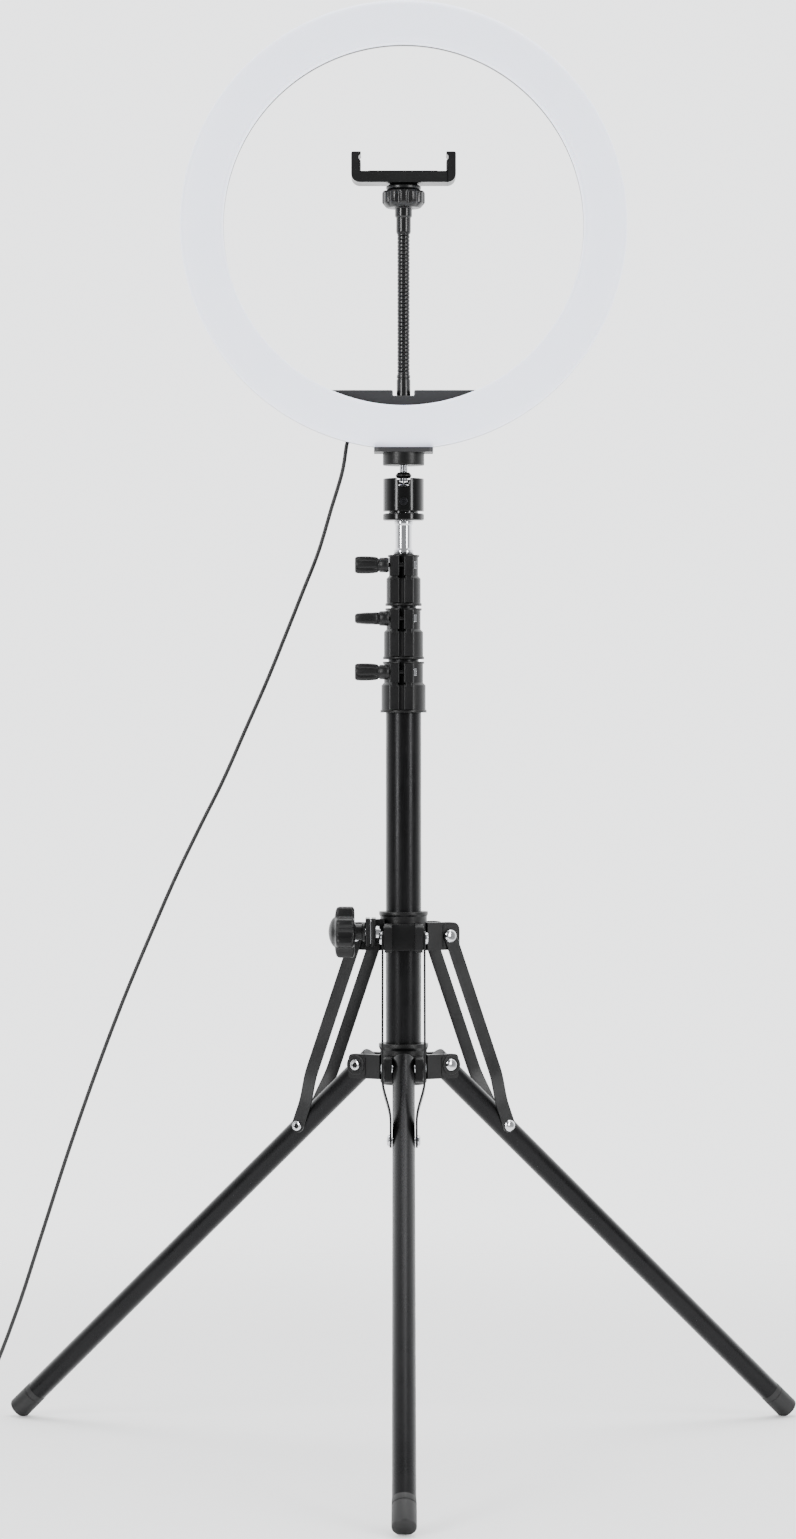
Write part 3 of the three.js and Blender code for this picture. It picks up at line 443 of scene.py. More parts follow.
steel = finish("bright nickel-plated steel", "#c9c9cc", 0.2, 1.0, grain=0.2, depth=0.001,
               stretch=(1, 1, 0.1), marks=0.15)
tie_ring = []
for width in (-3.4, -3.0, 3.0, 3.4):
    out = 5.2 if abs(width) < 3.2 else 4.9
    tie_ring.append([(width, u, v) for u, v in superellipse(out, out - 0.3, 2.4)])
for width in (3.0, -3.0):
    tie_ring.append([(width, u, v) for u, v in superellipse(4.6, 4.45, 2.4)])
tie = made("coil_tie", "base", loft(tie_ring, closed=True), keys, where=shift(
    coil_x, coil_y + COIL_R, coil_z + 0.2))
grip = []
for x, a, b, power in (
    (plug_lo.x, 2.6, 2.4, 2), (plug_lo.x + 0.6, 3.2, 2.9, 2), (plug_lo.x + 5, 3.6, 3.2, 2.2),
    (plug_lo.x + 7, 6.4, 3.6, 3.5), (plug_lo.x + 9, 7.3, 3.85, 6), (plug_lo.x + 24, 7.5, 3.9, 8),
    (plug_lo.x + 24.8, 7.2, 3.7, 7), (plug_lo.x + 25, 6.8, 3.4, 7),
):
    grip.append([(x, plug_y + u, 4.1 + v) for u, v in superellipse(a, b, power)])
plug_grip = made("plug_grip", "base", loft(grip), lead_abs, ["usb_plug"], sharp=30)
ribs = joined(*[
    placed(slab(rounded([(-6.2, -0.4, 0.3), (6.2, -0.4, 0.3), (6.2, 0.4, 0.3), (-6.2, 0.4, 0.3)]), 7.7, 8.3),
           shift(plug_lo.x + 12 + 2.2 * k, plug_y) @ spin(90, "Z"))
    for k in range(5)
])
plug_ribs = made("plug_ribs", "base", ribs, lead_abs, bevel=0.15)
plug_shell = made("plug_shell", "base", loft([
    [(x, plug_y + u, 4.25 + v) for u, v in superellipse(a, b, 12)]
    for x, a, b in ((plug_hi.x - 12.6, 6, 2.25), (plug_hi.x, 6, 2.25), (plug_hi.x, 5.6, 1.9),
                    (plug_hi.x - 9, 5.6, 1.9))
]), steel, sharp=30)


# Mast: four drawn aluminium tubes, black anodised, each sliding inside the one below. Every
# section ends in a small turned-in rim.
anodised = finish(
    "black anodised drawn aluminium", "#1a1a1b", 0.3, 0.8, grain=0.5, depth=0.0016, stretch=(1, 1, 0.02),
    tint=0.1, marks=0.1,
)
TUBE_WALL = 1.2
tubes = ("main_tube", "mast_tube_2", "mast_tube_3", "mast_tube_4")
tube_r = []
for i, node in enumerate(tubes):
    lo, hi = extent(node)
    radius = (hi.x - lo.x) / 2
    low, high = lo.z, hi.z
    tube_r.append(radius)
    made(node + "_drawn", "base" if i == 0 else f"mast_{i + 1}", hoop([
        (radius - TUBE_WALL, low), (radius, low, 0.4), (radius, high, 0.4), (radius - TUBE_WALL, high, 0.2),
    ], 96), anodised, [node])


# Clamp collars: moulded black nylon with a fine spark-eroded grain. Each grips the section
# above by a split upper band, drawn together by the bolt of its knob.
def cut(body, *tools):
    """The body with the tools cut out of it, all bmeshes."""
    pair = []
    for shape in (body, joined(*tools)):
        bmesh.ops.recalc_face_normals(shape, faces=shape.faces)
        mesh = bpy.data.meshes.new("cut")
        shape.to_mesh(mesh)
        shape.free()
        obj = bpy.data.objects.new("cut", mesh)
        bpy.context.scene.collection.objects.link(obj)
        pair.append(obj)
    taking = pair[0].modifiers.new("cut", "BOOLEAN")
    taking.object = pair[1]
    taking.operation = "DIFFERENCE"
    taking.solver = "EXACT"
    result = bmesh.new()
    result.from_object(pair[0], bpy.context.evaluated_depsgraph_get())
    for obj in pair:
        mesh = obj.data
        bpy.data.objects.remove(obj)
        bpy.data.meshes.remove(mesh)
    return result


def block(lo, hi, corner=1.0):
    """A block with its upright edges rounded, from a low to a high corner."""
    (x0, y0, z0), (x1, y1, z1) = lo, hi
    return slab(rounded([(x0, y0, corner), (x1, y0, corner), (x1, y1, corner), (x0, y1, corner)]), z0, z1)


nylon = finish("black nylon with a fine spark grain", "#070708", 0.4, grain=0.55, depth=0.035, tint=0.25,
               Specular_IOR_Level=0.34)
SLIT_X, SLIT, LUG = -1.45, 3.1, 7.4
for i in range(3):
    body = ("base", "mast_2", "mast_3")[i]
    node = f"lock_collar_{i + 1}"
    z = extent(node)[0].z
    lower = tube_r[i] + 3.2
    upper = lower - 1.9
    top, shoulder = z + 37.6, z + 21.5
    bore, next_bore = tube_r[i] + 0.2, tube_r[i + 1] + 0.2
    band = hoop([
        (bore, z, 0.3), (lower + 0.8, z, 0.5), (lower + 0.8, z + 1.8, 0.5), (lower, z + 2.1, 0.3),
        (lower, shoulder - 1.4, 0.6), (upper, shoulder + 0.6, 0.6), (upper, top - 1.7, 0.3),
        (upper + 0.9, top - 1.5, 0.4), (upper + 0.9, top, 0.5), (next_bore, top, 0.3),
        (next_bore, shoulder - 2), (bore, shoulder - 2),
    ], 96)
    slit_left, slit_right = SLIT_X - SLIT / 2, SLIT_X + SLIT / 2
    front = -upper - 6.4
    band = cut(band, block((slit_left, -40, shoulder - 0.5), (slit_right, -next_bore + 3, top + 1), 0.1))
    made(f"{node}_band", body, band, nylon, [node], bevel=0.25, sharp=40)
    columns = []
    for low_x, high_x in ((slit_left - LUG, slit_left), (slit_right, slit_right + LUG)):
        columns.append(block((low_x, front, shoulder + 0.6), (high_x, -next_bore - 1.5, top - 1.6), 1.2))
        columns.append(block((low_x, -lower - 2.4, z + 2.2), (high_x, -bore - 1, shoulder - 1.0), 1.2))
        columns.append(block((low_x + 1.2, front + 1.4, shoulder - 2.5),
                             (high_x - 1.2, -bore - 1, shoulder + 2), 1.0))
    lugs = joined(*columns)
    made(f"{node}_lugs", body, lugs, nylon, bevel=0.9, steps=3)
    made(f"{node}_key", body, joined(
        block((-upper * 0.55, upper * 0.8, z + 4), (-upper * 0.3, lower + 0.9, shoulder - 4), 0.5),
        block((upper * 0.3, upper * 0.8, z + 4), (upper * 0.55, lower + 0.9, shoulder - 4), 0.5),
    ), nylon, bevel=0.4)


# Wing knobs: moulded black nylon grips on dark bolts. The grip is a flat tapered wing with two
# long grooves a side, and the bolt's end runs into a small plated square nut.
chrome = finish("bright chrome plate", "#d4d5d8", 0.1, 1.0, grain=0.6, depth=0.0008, tint=0.04, vary=0.03,
                marks=0.1)
KNOB_TURN = (0, 90, 0)
for i in range(3):
    node = f"lock_knob_{i + 1}"
    lo, hi = extent(node)
    wing = []
    stations = (
        (-35.8, 2.6, 5.0, 3.0), (-35.2, 3.3, 5.8, 3.2), (-34.0, 3.8, 6.2, 3.6), (-31, 4.1, 6.4, 4),
        (-27, 4.4, 6.4, 4), (-23, 4.4, 6.2, 4), (-20.5, 4.6, 5.9, 3.4), (-19, 4.6, 5.5, 2.6),
        (-18.6, 4.6, 4.8, 2), (-18.0, 4.7, 4.7, 2), (-17.4, 5.4, 5.4, 2), (-12.2, 5.6, 5.6, 2),
        (-11.6, 5.3, 5.3, 2), (-10.8, 5.0, 5.0, 2),
    )
    for x, a, b, power in stations:
        ring = []
        for u, v in superellipse(a, b, power, 72):
            groove = math.exp(-((abs(v) - 2.5) / 0.75) ** 2) if -34.5 < x < -20 and abs(u) > 1.5 else 0
            ring.append((x, u - math.copysign(0.85 * groove, u), v))
        wing.append(ring)
    where = shift(0, (lo.y + hi.y) / 2, (lo.z + hi.z) / 2) @ spin(KNOB_TURN[i], "X")
    made(f"{node}_wing", node, loft(wing), nylon, [node], sharp=50, where=where)
    rod = lathe([(0, 0), (1.6, 0, 0.3), (1.6, 18.6, 0.5), (0, 18.6)], 32)
    nut = slab(rounded([(-2.7, -2.7, 0.4), (2.7, -2.7, 0.4), (2.7, 2.7, 0.4), (-2.7, 2.7, 0.4)]), 18.5, 20.6)
    in_arms = where @ shift(-11) @ spin(90, "Y")
    made(f"{node}_bolt", node, rod, anodised, where=in_arms)
    made(f"{node}_nut", node, nut, chrome, bevel=0.3, where=in_arms)


# Lower hub: one moulded black nylon body on the foot of the mast, three forked arms for the
# legs, raised bosses round the rivets and a flared upper lip.
def upright(shape):
    """A plate drawn in XY turned to stand in XZ, its height running towards +Y."""
    shape.transform(Matrix(((1, 0, 0, 0), (0, 0, 1, 0), (0, 1, 0, 0), (0, 0, 0, 1))))
    return shape


def fork(tip, low, high, corners):
    """One forked arm along X: two cheeks with rounded tips and the web that joins them."""
    root = 12.5
    cheek = [(root, low), (tip, low, corners[0]), (tip, high, corners[1]), (root, high)]
    web = [(root, low + 0.6), (21.2, low + 0.6, 0.8), (21.2, high - 0.6, 0.8), (root, high - 0.6)]
    pad_low, pad_high = low + 1.6, high - 1.4
    pad_out = [(tip - 14.5, pad_low, 2.0), (tip - 1.2, pad_low, 4.5), (tip - 1.2, pad_high, 4.5),
               (tip - 14.5, pad_high, 2.0)]
    parts = [upright(slab(rounded(web), -13.6, 13.6))]
    for side in (-1, 1):
        parts.append(upright(slab(rounded(cheek), side * 8.65, side * 14.0)))
        parts.append(upright(slab(rounded(pad_out), side * 13.8, side * 14.6)))
    return joined(*parts)


def rivet_head(tubular, radius):
    """A rivet's head on Z: a dome at its factory end, a rolled ring at its closed end."""
    k = radius / 4.4
    if tubular:
        return hoop([
            (2.0 * k, 0.3), (1.7 * k, 1.3, 0.3), (2.3 * k, 2.0, 0.4), (3.6 * k, 1.7, 0.6),
            (4.0 * k, 0, 0.2), (2.0 * k, 0),
        ], 40)
    return lathe([(0, 0), (radius, 0), (radius, 0.5, 0.3), (3.3 * k, 1.8, 1.6), (0, 2.3)], 40)


AZIMUTHS = (270, 150, 30)
LEG_OUT, LEG_Z, ARM_HALF = 32.5, 286.0, 14.2
HUB_ARM_LOW, HUB_ARM_TOP, HUB_R, HUB_LIP = 276, 294, 17.25, 302.5
for k, azimuth in enumerate(AZIMUTHS):
    made(f"hub_arm_{k + 1}", "base", fork(39, HUB_ARM_LOW, HUB_ARM_TOP, (2.5, 3.5)), nylon,
         bevel=0.7, steps=3,
         where=spin(azimuth, "Z"))
made("hub_body", "base", hoop([
    (12.0, 272.2, 0.3), (15.8, 272, 1.2), (HUB_R, 274, 1.0), (HUB_R, HUB_LIP - 5, 1.0),
    (HUB_R + 1.05, HUB_LIP - 2.9, 0.8), (HUB_R + 1.05, HUB_LIP, 0.7), (13.3, HUB_LIP, 0.5),
    (13.3, HUB_ARM_LOW), (12.0, HUB_ARM_LOW),
], 96), nylon, ["lower_hub"])
for k, azimuth in enumerate(AZIMUTHS):
    arm_bosses = []
    for side in (-1, 1):
        boss = lathe([(0, 0), (7.4, 0), (7.4, 1.5, 0.5), (5.2, 1.5, 0.4), (5.0, 0.9, 0.2), (0, 0.9)], 48)
        outward = shift(LEG_OUT, side * (ARM_HALF - 0.4), LEG_Z) @ spin(-90 * side, "X")
        arm_bosses.append(placed(boss, outward))
    made(f"hub_bosses_{k + 1}", "base", joined(*arm_bosses), nylon, where=spin(azimuth, "Z"))
    pin = joined(*[
        placed(rivet_head(side > 0, 4.6),
               shift(LEG_OUT, side * (ARM_HALF + 0.5), LEG_Z) @ spin(-90 * side, "X"))
        for side in (-1, 1)
    ], placed(turned([(0, -14), (2.9, -14), (2.9, 14), (0, 14)], 32),
              shift(LEG_OUT, 0, LEG_Z) @ spin(90, "X")))
    made(f"leg_rivet_{k + 1}", "base", pin, chrome, [f"leg_pin_{k + 1}"],
         where=spin(azimuth, "Z"))
made("hub_pips", "base", joined(*[
    placed(lathe([(0, 0), (1.3, 0), (1.3, 1.2, 0.5), (0, 1.4)], 24), shift(x, -16.6, 291) @ spin(90, "X"))
    for x in (-8.2, 8.2)
]), chrome)


# Sliding collar: a second moulded body that slides on the mast and carries the struts. Its
# clamp lugs stand out in front and are drawn together by the star knob's bolt.
STRUT_OUT, STRUT_Z = 31.0, 381.5
ARM_LOW, ARM_TOP = 371.2, 391.7
COLLAR_LOW, COLLAR_TOP, COLLAR_R = 373.5, 400, 17.35
LUG_FRONT, LUG_BACK = -29.7, -6
for k, azimuth in enumerate(AZIMUTHS):
    made(f"collar_arm_{k + 1}", "collar", fork(40, ARM_LOW, ARM_TOP, (2.5, 6.5)), nylon,
         bevel=0.8, steps=3, where=spin(azimuth, "Z"))
made("collar_body", "collar", hoop([
    (13.45, COLLAR_LOW, 0.4), (COLLAR_R, COLLAR_LOW, 0.8), (COLLAR_R, COLLAR_TOP - 3.4, 0.8),
    (COLLAR_R + 0.75, COLLAR_TOP - 2.4, 0.6), (COLLAR_R + 0.75, COLLAR_TOP, 0.7), (13.45, COLLAR_TOP, 0.5),
], 96), nylon, ["sliding_collar"])
made("collar_lugs", "collar", joined(
    block((-28, LUG_FRONT, 375.7), (-24.85, LUG_BACK, 395.7), 1.0),
    block((-23.65, LUG_FRONT, 375.7), (-20.5, LUG_BACK, 395.7), 1.0),
    block((-28, -16, 376.7), (-14, -6, 394.7), 1.0),
), nylon, bevel=0.8, steps=3)
made("clamp_washer", "collar", block((-24.85, -28.4, 377.5), (-23.65, -16, 394), 0.4), steel,
     bevel=0.1)


# Star knob: a lobed grip in moulded black nylon with a domed outer face, on a plated bolt
# through the clamp lugs.
def lobed(radius, lobe, x, count=7, sides=126):
    """A ring about X with that many lobes."""
    ring = []
    for i in range(sides):
        angle = 2 * math.pi * i / sides
        wave = math.cos(count * angle)
        reach = radius - lobe + lobe * (abs(wave) ** 0.7 * (1 if wave > 0 else -1))
        ring.append((x, reach * math.cos(angle), reach * math.sin(angle)))
    return ring


STAR_Y, STAR_Z = -22.5, 385.7
star = loft([
    lobed(r, lobe, x) for x, r, lobe in (
        (-36.0, 16.5, 1.4), (-36.3, 17.8, 1.9), (-37.3, 19.1, 2.3), (-38.4, 19.25, 2.4), (-46.8, 19.25, 2.4),
        (-48.2, 18.9, 2.2), (-49.2, 18.0, 1.9), (-49.9, 16.2, 1.4), (-50.3, 13.4, 0.7), (-50.7, 11.2, 0.2),
        (-52.0, 10.1, 0.0), (-53.4, 8.0, 0.0), (-54.6, 4.9, 0.0), (-55.2, 1.2, 0.0),
    )
])
made("star_grip", "star_knob", star, nylon, ["star_knob"], sharp=60,
     where=shift(0, STAR_Y, STAR_Z))
made("star_neck", "star_knob", lathe([
    (0, 0), (6.9, 0, 0.4), (6.9, 2.0, 0.4), (5.9, 2.4, 0.3), (5.9, 7.2, 0.3), (8.5, 8.2, 0.3), (0, 8.2),
], 48), nylon, where=shift(-28.2, STAR_Y, STAR_Z) @ spin(-90, "Y"))
made("star_bolt", "star_knob", joined(
    placed(lathe([(0, 0), (2.4, 0), (2.4, 11.6, 0.4), (0, 11.6)], 32), spin(90, "Y")),
    placed(slab(circle(4.3, 6), 8.0, 10.6), spin(90, "Y")),
), chrome, bevel=0.2, where=shift(-28.4, STAR_Y, STAR_Z))


# Legs: drawn black anodised tubes with a nylon plug in the upper end, and rubber feet moulded
# over the lower ends, with a groove near the lip and a flat where they meet the floor.
def loft_strip(stations, width, thick, corner=0.25):
    """A flat strip with round ends along X: stations are (x, offset in y), width is in z."""
    sections = []
    lo, hi = stations[0][0], stations[-1][0]
    for x, offset in stations:
        from_end = min(x - lo, hi - x)
        half = math.sqrt(max(0.02, width ** 2 - max(0.0, width - from_end) ** 2))
        y0, y1 = offset, offset + thick
        c = min(corner, half * 0.4)
        sections.append([
            (x, y0 + c, -half), (x, y0, -half + c), (x, y0, half - c), (x, y0 + c, half),
            (x, y1 - c, half), (x, y1, half - c), (x, y1, -half + c), (x, y1 - c, -half),
        ])
    return loft(sections)


LEG_ANGLE = 41.9
LEG_R, FOOT_R, FOOT_LONG = 8.25, 8.6, 24.0
FOOT_END = 421.05
leg_profile = rounded([
    (LEG_R - 1.2, -7, 0.2), (LEG_R, -7, 0.4), (LEG_R, FOOT_END - 3.4, 0.3),
    (LEG_R - 1.2, FOOT_END - 3.4, 0.2),
])
foot_start = FOOT_END - FOOT_LONG
foot_profile = rounded([
    (LEG_R + 0.02, foot_start), (LEG_R + 0.1, foot_start, 0.05), (FOOT_R - 0.1, foot_start + 3, 1.0),
    (FOOT_R - 0.1, foot_start + 4.6, 0.15), (FOOT_R - 0.35, foot_start + 4.8, 0.1),
    (FOOT_R - 0.35, foot_start + 5.3, 0.1), (FOOT_R - 0.1, foot_start + 5.5, 0.15),
    (FOOT_R, FOOT_END, 1.9), (0, FOOT_END),
], closed=False)
for k, azimuth in enumerate(AZIMUTHS):
    leg = spin(azimuth, "Z") @ shift(LEG_OUT, 0, LEG_Z) @ spin(LEG_ANGLE, "Y") @ spin(90, "Y")
    made(f"leg_drawn_{k + 1}", f"leg_{k + 1}", turned(leg_profile, 72, True), anodised,
         [f"leg_tube_{k + 1}"], where=leg)
    made(f"leg_plug_{k + 1}", f"leg_{k + 1}", lathe([
        (0, -7.6), (LEG_R - 0.2, -7.6, 0.8), (LEG_R - 0.2, -6.9), (LEG_R - 1.25, -6.9),
        (LEG_R - 1.25, 0), (0, 0),
    ], 48), nylon, where=leg)
    foot = turned(foot_profile, 72)
    foot.transform(leg)
    floor_cut = bmesh.ops.bisect_plane(
        foot, geom=foot.verts[:] + foot.edges[:] + foot.faces[:], plane_co=(0, 0, 0), plane_no=(0, 0, -1),
        clear_outer=True,
    )
    rim = [e for e in floor_cut["geom_cut"] if isinstance(e, bmesh.types.BMEdge)]
    if rim:
        bmesh.ops.contextual_create(foot, geom=rim)
    made(f"foot_moulded_{k + 1}", f"leg_{k + 1}", foot, rubber, [f"foot_{k + 1}"])


# Struts: two black powder-painted steel strips to each leg, cranked inwards to its sides, on
# plated rivets; the upper rivets turn in the collar's arms.
paint = finish("black powder paint on steel strip", "#0b0b0c", 0.36, grain=0.5, depth=0.018, tint=0.2,
               marks=0.1, Specular_IOR_Level=0.4)
STRUT_ON_LEG = 71.7
lean = math.radians(LEG_ANGLE)
strut_foot = Vector((LEG_OUT + STRUT_ON_LEG * math.cos(lean), LEG_Z - STRUT_ON_LEG * math.sin(lean)))
strut_head = Vector((STRUT_OUT, STRUT_Z))
strut_way = strut_head - strut_foot
STRUT_LONG = strut_way.length
strut_rise = math.degrees(math.atan2(strut_way.y, strut_way.x))
IN_FOOT, IN_TOP, STRIP, STRIP_HALF = 8.65, 14.65, 1.5, 5.2
CRANK_LOW, CRANK_HIGH = 14.4, 46
stations = []
for k in range(9):
    stations.append(-STRIP_HALF * math.cos(math.pi / 2 * k / 8))
stations += [6, 12, CRANK_LOW, 18, 22, 26, 30, 34, 38, 42, CRANK_HIGH, 60, 100, 140]
for k in range(9):
    stations.append(STRUT_LONG + STRIP_HALF * math.sin(math.pi / 2 * k / 8))
offsets = []
for x in stations:
    t = min(1, max(0, (x - CRANK_LOW) / (CRANK_HIGH - CRANK_LOW)))
    offsets.append((x, IN_FOOT + (IN_TOP - IN_FOOT) * t * t * (3 - 2 * t)))
for k, azimuth in enumerate(AZIMUTHS):
    place = spin(azimuth, "Z") @ shift(strut_foot.x, 0, strut_foot.y) @ spin(-strut_rise, "Y")
    for side, word in ((1, "left"), (-1, "right")):
        node = f"strut_{k + 1}_{word}"
        strip = loft_strip(offsets, STRIP_HALF, STRIP)
        if side < 0:
            strip.transform(Matrix.Scale(-1, 4, (0, 1, 0)))
        body = f"struts_{k + 1}"
        made(f"{node}_strip", body, strip, paint, [node], sharp=40, where=place)
        head = rivet_head(side > 0, 4.7)
        made(f"{node}_rivet", body, head, chrome,
             where=place @ shift(STRUT_LONG, side * (IN_TOP + STRIP), 0) @ spin(-90 * side, "X"))
    foot_rivet = joined(*[
        placed(rivet_head(side > 0, 4.3), shift(0, side * (IN_FOOT + STRIP), 0) @ spin(-90 * side, "X"))
        for side in (-1, 1)
    ], placed(turned([(0, -10), (2.3, -10), (2.3, 10), (0, 10)], 32), spin(90, "X")))
    made(f"strut_rivet_{k + 1}", f"leg_{k + 1}", foot_rivet, chrome, [f"strut_pin_{k + 1}"],
         where=place)


# Ball head: gloss black anodised turned aluminium on a chrome spigot. A turned ring locks it,
# the cup has a side notch for the stud, and a grub screw in front nips the ball.
gloss = finish(
    "gloss black anodised turned aluminium", "#131314", 0.2, 0.8, grain=0.5, depth=0.0012,
    stretch=(0.05, 0.05, 1), tint=0.08, vary=0.05, Coat_Weight=0.35, Coat_Roughness=0.12,
)
HEAD_R = 15.15
SPIGOT_Z = 664.9
made("spigot_turned", "mast_4", lathe([
    (0, SPIGOT_Z - 20), (6.0, SPIGOT_Z - 20), (6.0, SPIGOT_Z - 0.2), (7.3, SPIGOT_Z, 0.5),
    (7.3, SPIGOT_Z + 1.6, 0.6), (6.15, SPIGOT_Z + 3.4, 0.8), (6.15, SPIGOT_Z + 20.2, 0.8),
    (6.9, SPIGOT_Z + 21.4, 0.5), (6.9, SPIGOT_Z + 23.5, 0.4), (3.0, SPIGOT_Z + 23.5), (3.0, 698),
    (0, 698),
], 72), chrome, ["spigot"])
ring_lo, ring_hi = (corner.z for corner in extent("head_ring"))
KNURLS, KNURL_DEPTH = 90, 0.012
ring_turned = loft([
    [(x * (1 - k * KNURL_DEPTH * (i % 2)), y * (1 - k * KNURL_DEPTH * (i % 2)), z)
     for i, (x, y, z) in enumerate(circle(r, 2 * KNURLS, height))]
    for r, height, k in (
        (3.3, ring_lo, 0), (HEAD_R - 0.7, ring_lo, 0), (HEAD_R, ring_lo + 0.7, 0), (HEAD_R, ring_lo + 1.1, 1),
        (HEAD_R, ring_hi - 1.0, 1), (HEAD_R, ring_hi - 0.6, 0), (HEAD_R - 0.6, ring_hi, 0), (3.3, ring_hi, 0),
    )
], closed=True)
made("head_ring_knurled", "head_ring", ring_turned, gloss, ["head_ring"], sharp=60)
cup_low, cup_top = (corner.z for corner in extent("ball_housing"))
ball_z = cup_top - 11.7
cup = hoop([
    (3.3, cup_low), (11.05, cup_low), (11.05, cup_low + 1.3), (HEAD_R, cup_low + 1.3, 0.6),
    (HEAD_R, cup_top, 0.9), (13.2, cup_top, 0.4), (13.2, cup_top - 7.5, 0.8), (7.4, cup_top - 7.5, 0.3),
    (8.3, ball_z + 1.4, 2), (8.3, ball_z - 8.3, 2), (3.3, ball_z - 8.3),
], 128)
slot_z = cup_top - 7.3 + 4.9
cup = cut(cup, slab([(-4.9, -20), (4.9, -20), (4.9, -8), (-4.9, -8)], slot_z, cup_top + 1))
cup = cut(cup, placed(turned([(0, 8), (4.9, 8), (4.9, 20), (0, 20)], 48),
                      shift(0, 0, slot_z) @ spin(90, "X")))
cup = cut(cup, placed(turned([(0, 10.6), (3.2, 10.6), (3.2, 20), (0, 20)], 40),
                      shift(0, 0, cup_top - 17.4) @ spin(90, "X")))
made("head_cup", "ball_head", cup, gloss, ["ball_housing"], bevel=0.35, sharp=42)
grub = cut(
    placed(lathe([(0, 10.8), (3.0, 10.8), (3.0, 14.4, 0.3), (0, 14.4)], 40), spin(90, "X")),
    placed(slab(circle(1.7, 6), 12.2, 16), spin(90, "X")),
)
zinc = finish("black zinc on steel", "#3a3a3d", 0.32, 1.0, grain=0.5, depth=0.002, tint=0.1)
made("grub_turned", "ball_head", grub, zinc, ["grub_screw"], bevel=0.2,
     where=shift(0, -0.6, cup_top - 17.4))
stud_top = extent("ball_stud")[1].z
BALL_R, STUD_R, PITCH = 8, 3.1, 0.8
ball = [(0, ball_z - BALL_R)]
for k in range(1, 19):
    angle = -math.pi / 2 + (math.pi - math.asin(STUD_R / BALL_R)) * k / 18
    ball.append((BALL_R * math.cos(angle), ball_z + BALL_R * math.sin(angle)))
thread = []
z = ball_z + 9.6
while z < stud_top - PITCH:
    thread += [(STUD_R, z), (STUD_R - 0.35, z + PITCH / 2), (STUD_R, z + PITCH)]
    z += PITCH
made("ball_turned", "ring_head", turned(ball + [(STUD_R, ball_z + 8.6)] + thread + [(0, z)], 72), chrome,
     ["ball_stud"], sharp=50)
flange_low, flange_top = (corner.z for corner in extent("stud_flange"))
made("stud_collar", "ring_head", hoop([
    (3.2, flange_low), (4.6, flange_low, 0.3), (5.9, flange_low + 1.5, 0.5),
    (5.8, flange_low + 2.4, 0.3), (4.4, flange_top, 0.4), (3.2, flange_top),
], 64), nylon, ["stud_flange"])


# Mount bracket: a round black nylon boss with the threaded bush, under a shelf of moulded dark
# ABS whose tab stands up behind the ring on three small gussets.
shell_plastic = finish("dark grey ABS with a spark texture", "#2c2c2e", 0.48, grain=0.5, depth=0.03,
                       tint=0.12)
bracket_low, bracket_top = (corner.z for corner in extent("mount_bracket"))
BOSS_R, BOSS_HIGH, SHELF_HALF = 15.35, 10, 21.85
TAB_FRONT, TAB_BACK = 12.4, 15.8
made("bracket_boss", "ring_head", hoop([
    (3.4, bracket_low + 0.4), (4.6, bracket_low, 0.3), (BOSS_R, bracket_low, 0.9),
    (BOSS_R, bracket_low + BOSS_HIGH, 0.3), (3.4, bracket_low + BOSS_HIGH),
], 96), nylon, ["mount_bracket"])
made("bracket_shelf", "ring_head", joined(
    block((-SHELF_HALF, -BOSS_R, bracket_low + 9.4), (SHELF_HALF, TAB_BACK, bracket_low + 12.9), 4),
    block((-SHELF_HALF, TAB_FRONT, bracket_low + 9.4), (SHELF_HALF, TAB_BACK, bracket_top), 0.6),
    *[placed(slab(rounded([(0, 0, 0.3), (7, 0, 0.3), (0, 7, 0.3)]), -1, 1),
             shift(x, 12.6, bracket_low + 12.6) @ spin(-90, "Z") @ spin(90, "X"))
      for x in (-16, 0, 16)],
), shell_plastic, bevel=0.5)


# Ring: the front half is an opal polycarbonate diffuser, a rounded channel pressed onto the
# dark shell behind it; a white LED board lies inside. Six screws hold the shell.
def screw_head():
    """A screw's round head on Z, with a shallow recess."""
    return lathe([
        (0, 0.5), (1.0, 0.5, 0.1), (1.3, 1.1, 0.2), (2.7, 1.0, 0.4), (3.0, 0),
    ], 32)


# The diffuser's face carries a faint painted glow, an emission of pale blue-white, though the ring's LEDs are
# not lit.
opal = finish(
    "opal polycarbonate with a satin face and painted glow", "#eef2fd", 0.42, grain=0.7, depth=0.01, tint=0.015, vary=0.04,
    Emission_Color=linear("#e4eaff"), Emission_Strength=1.15,
    Subsurface_Weight=0.12, Subsurface_Scale=0.004,
)
RING_Z, RING_OUT, RING_MID, RING_IN = 906.8, 165.0, 149, 133.2
SHELL_DEEP = 12
ring_at = shift(0, 0, RING_Z) @ spin(90, "X")
made("ring_front", "ring_head", hoop([
    (RING_OUT, -2, 0.4), (RING_OUT, 11.5, 6.5), (RING_MID, 12.7, 40), (RING_IN, 11.5, 6.5),
    (RING_IN, -2, 0.4), (RING_IN + 1.8, -2), (RING_IN + 1.8, 9.4, 4), (RING_MID, 10.6, 30),
    (RING_OUT - 1.8, 9.4, 4), (RING_OUT - 1.8, -2),
], 288, 8), opal, ["ring_diffuser"], where=ring_at, sharp=28)
made("ring_back", "ring_head", hoop([
    (RING_OUT, -2.25, 0.3), (RING_OUT, -SHELL_DEEP, 3.5), (RING_IN, -SHELL_DEEP, 3.5),
    (RING_IN, -2.25, 0.3), (RING_IN + 1.8, -2.25), (RING_IN + 1.8, -10.2, 2), (RING_OUT - 1.8, -10.2, 2),
    (RING_OUT - 1.8, -2.25),
], 288, 6), shell_plastic, ["ring_shell"], where=ring_at, sharp=28)
led_white = finish("white solder mask", "#e4e4dd", 0.5, grain=0.5, depth=0.006, tint=0.03)
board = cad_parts["led_board"]
board.data.materials.clear()
board.data.materials.append(led_white)
screws = []
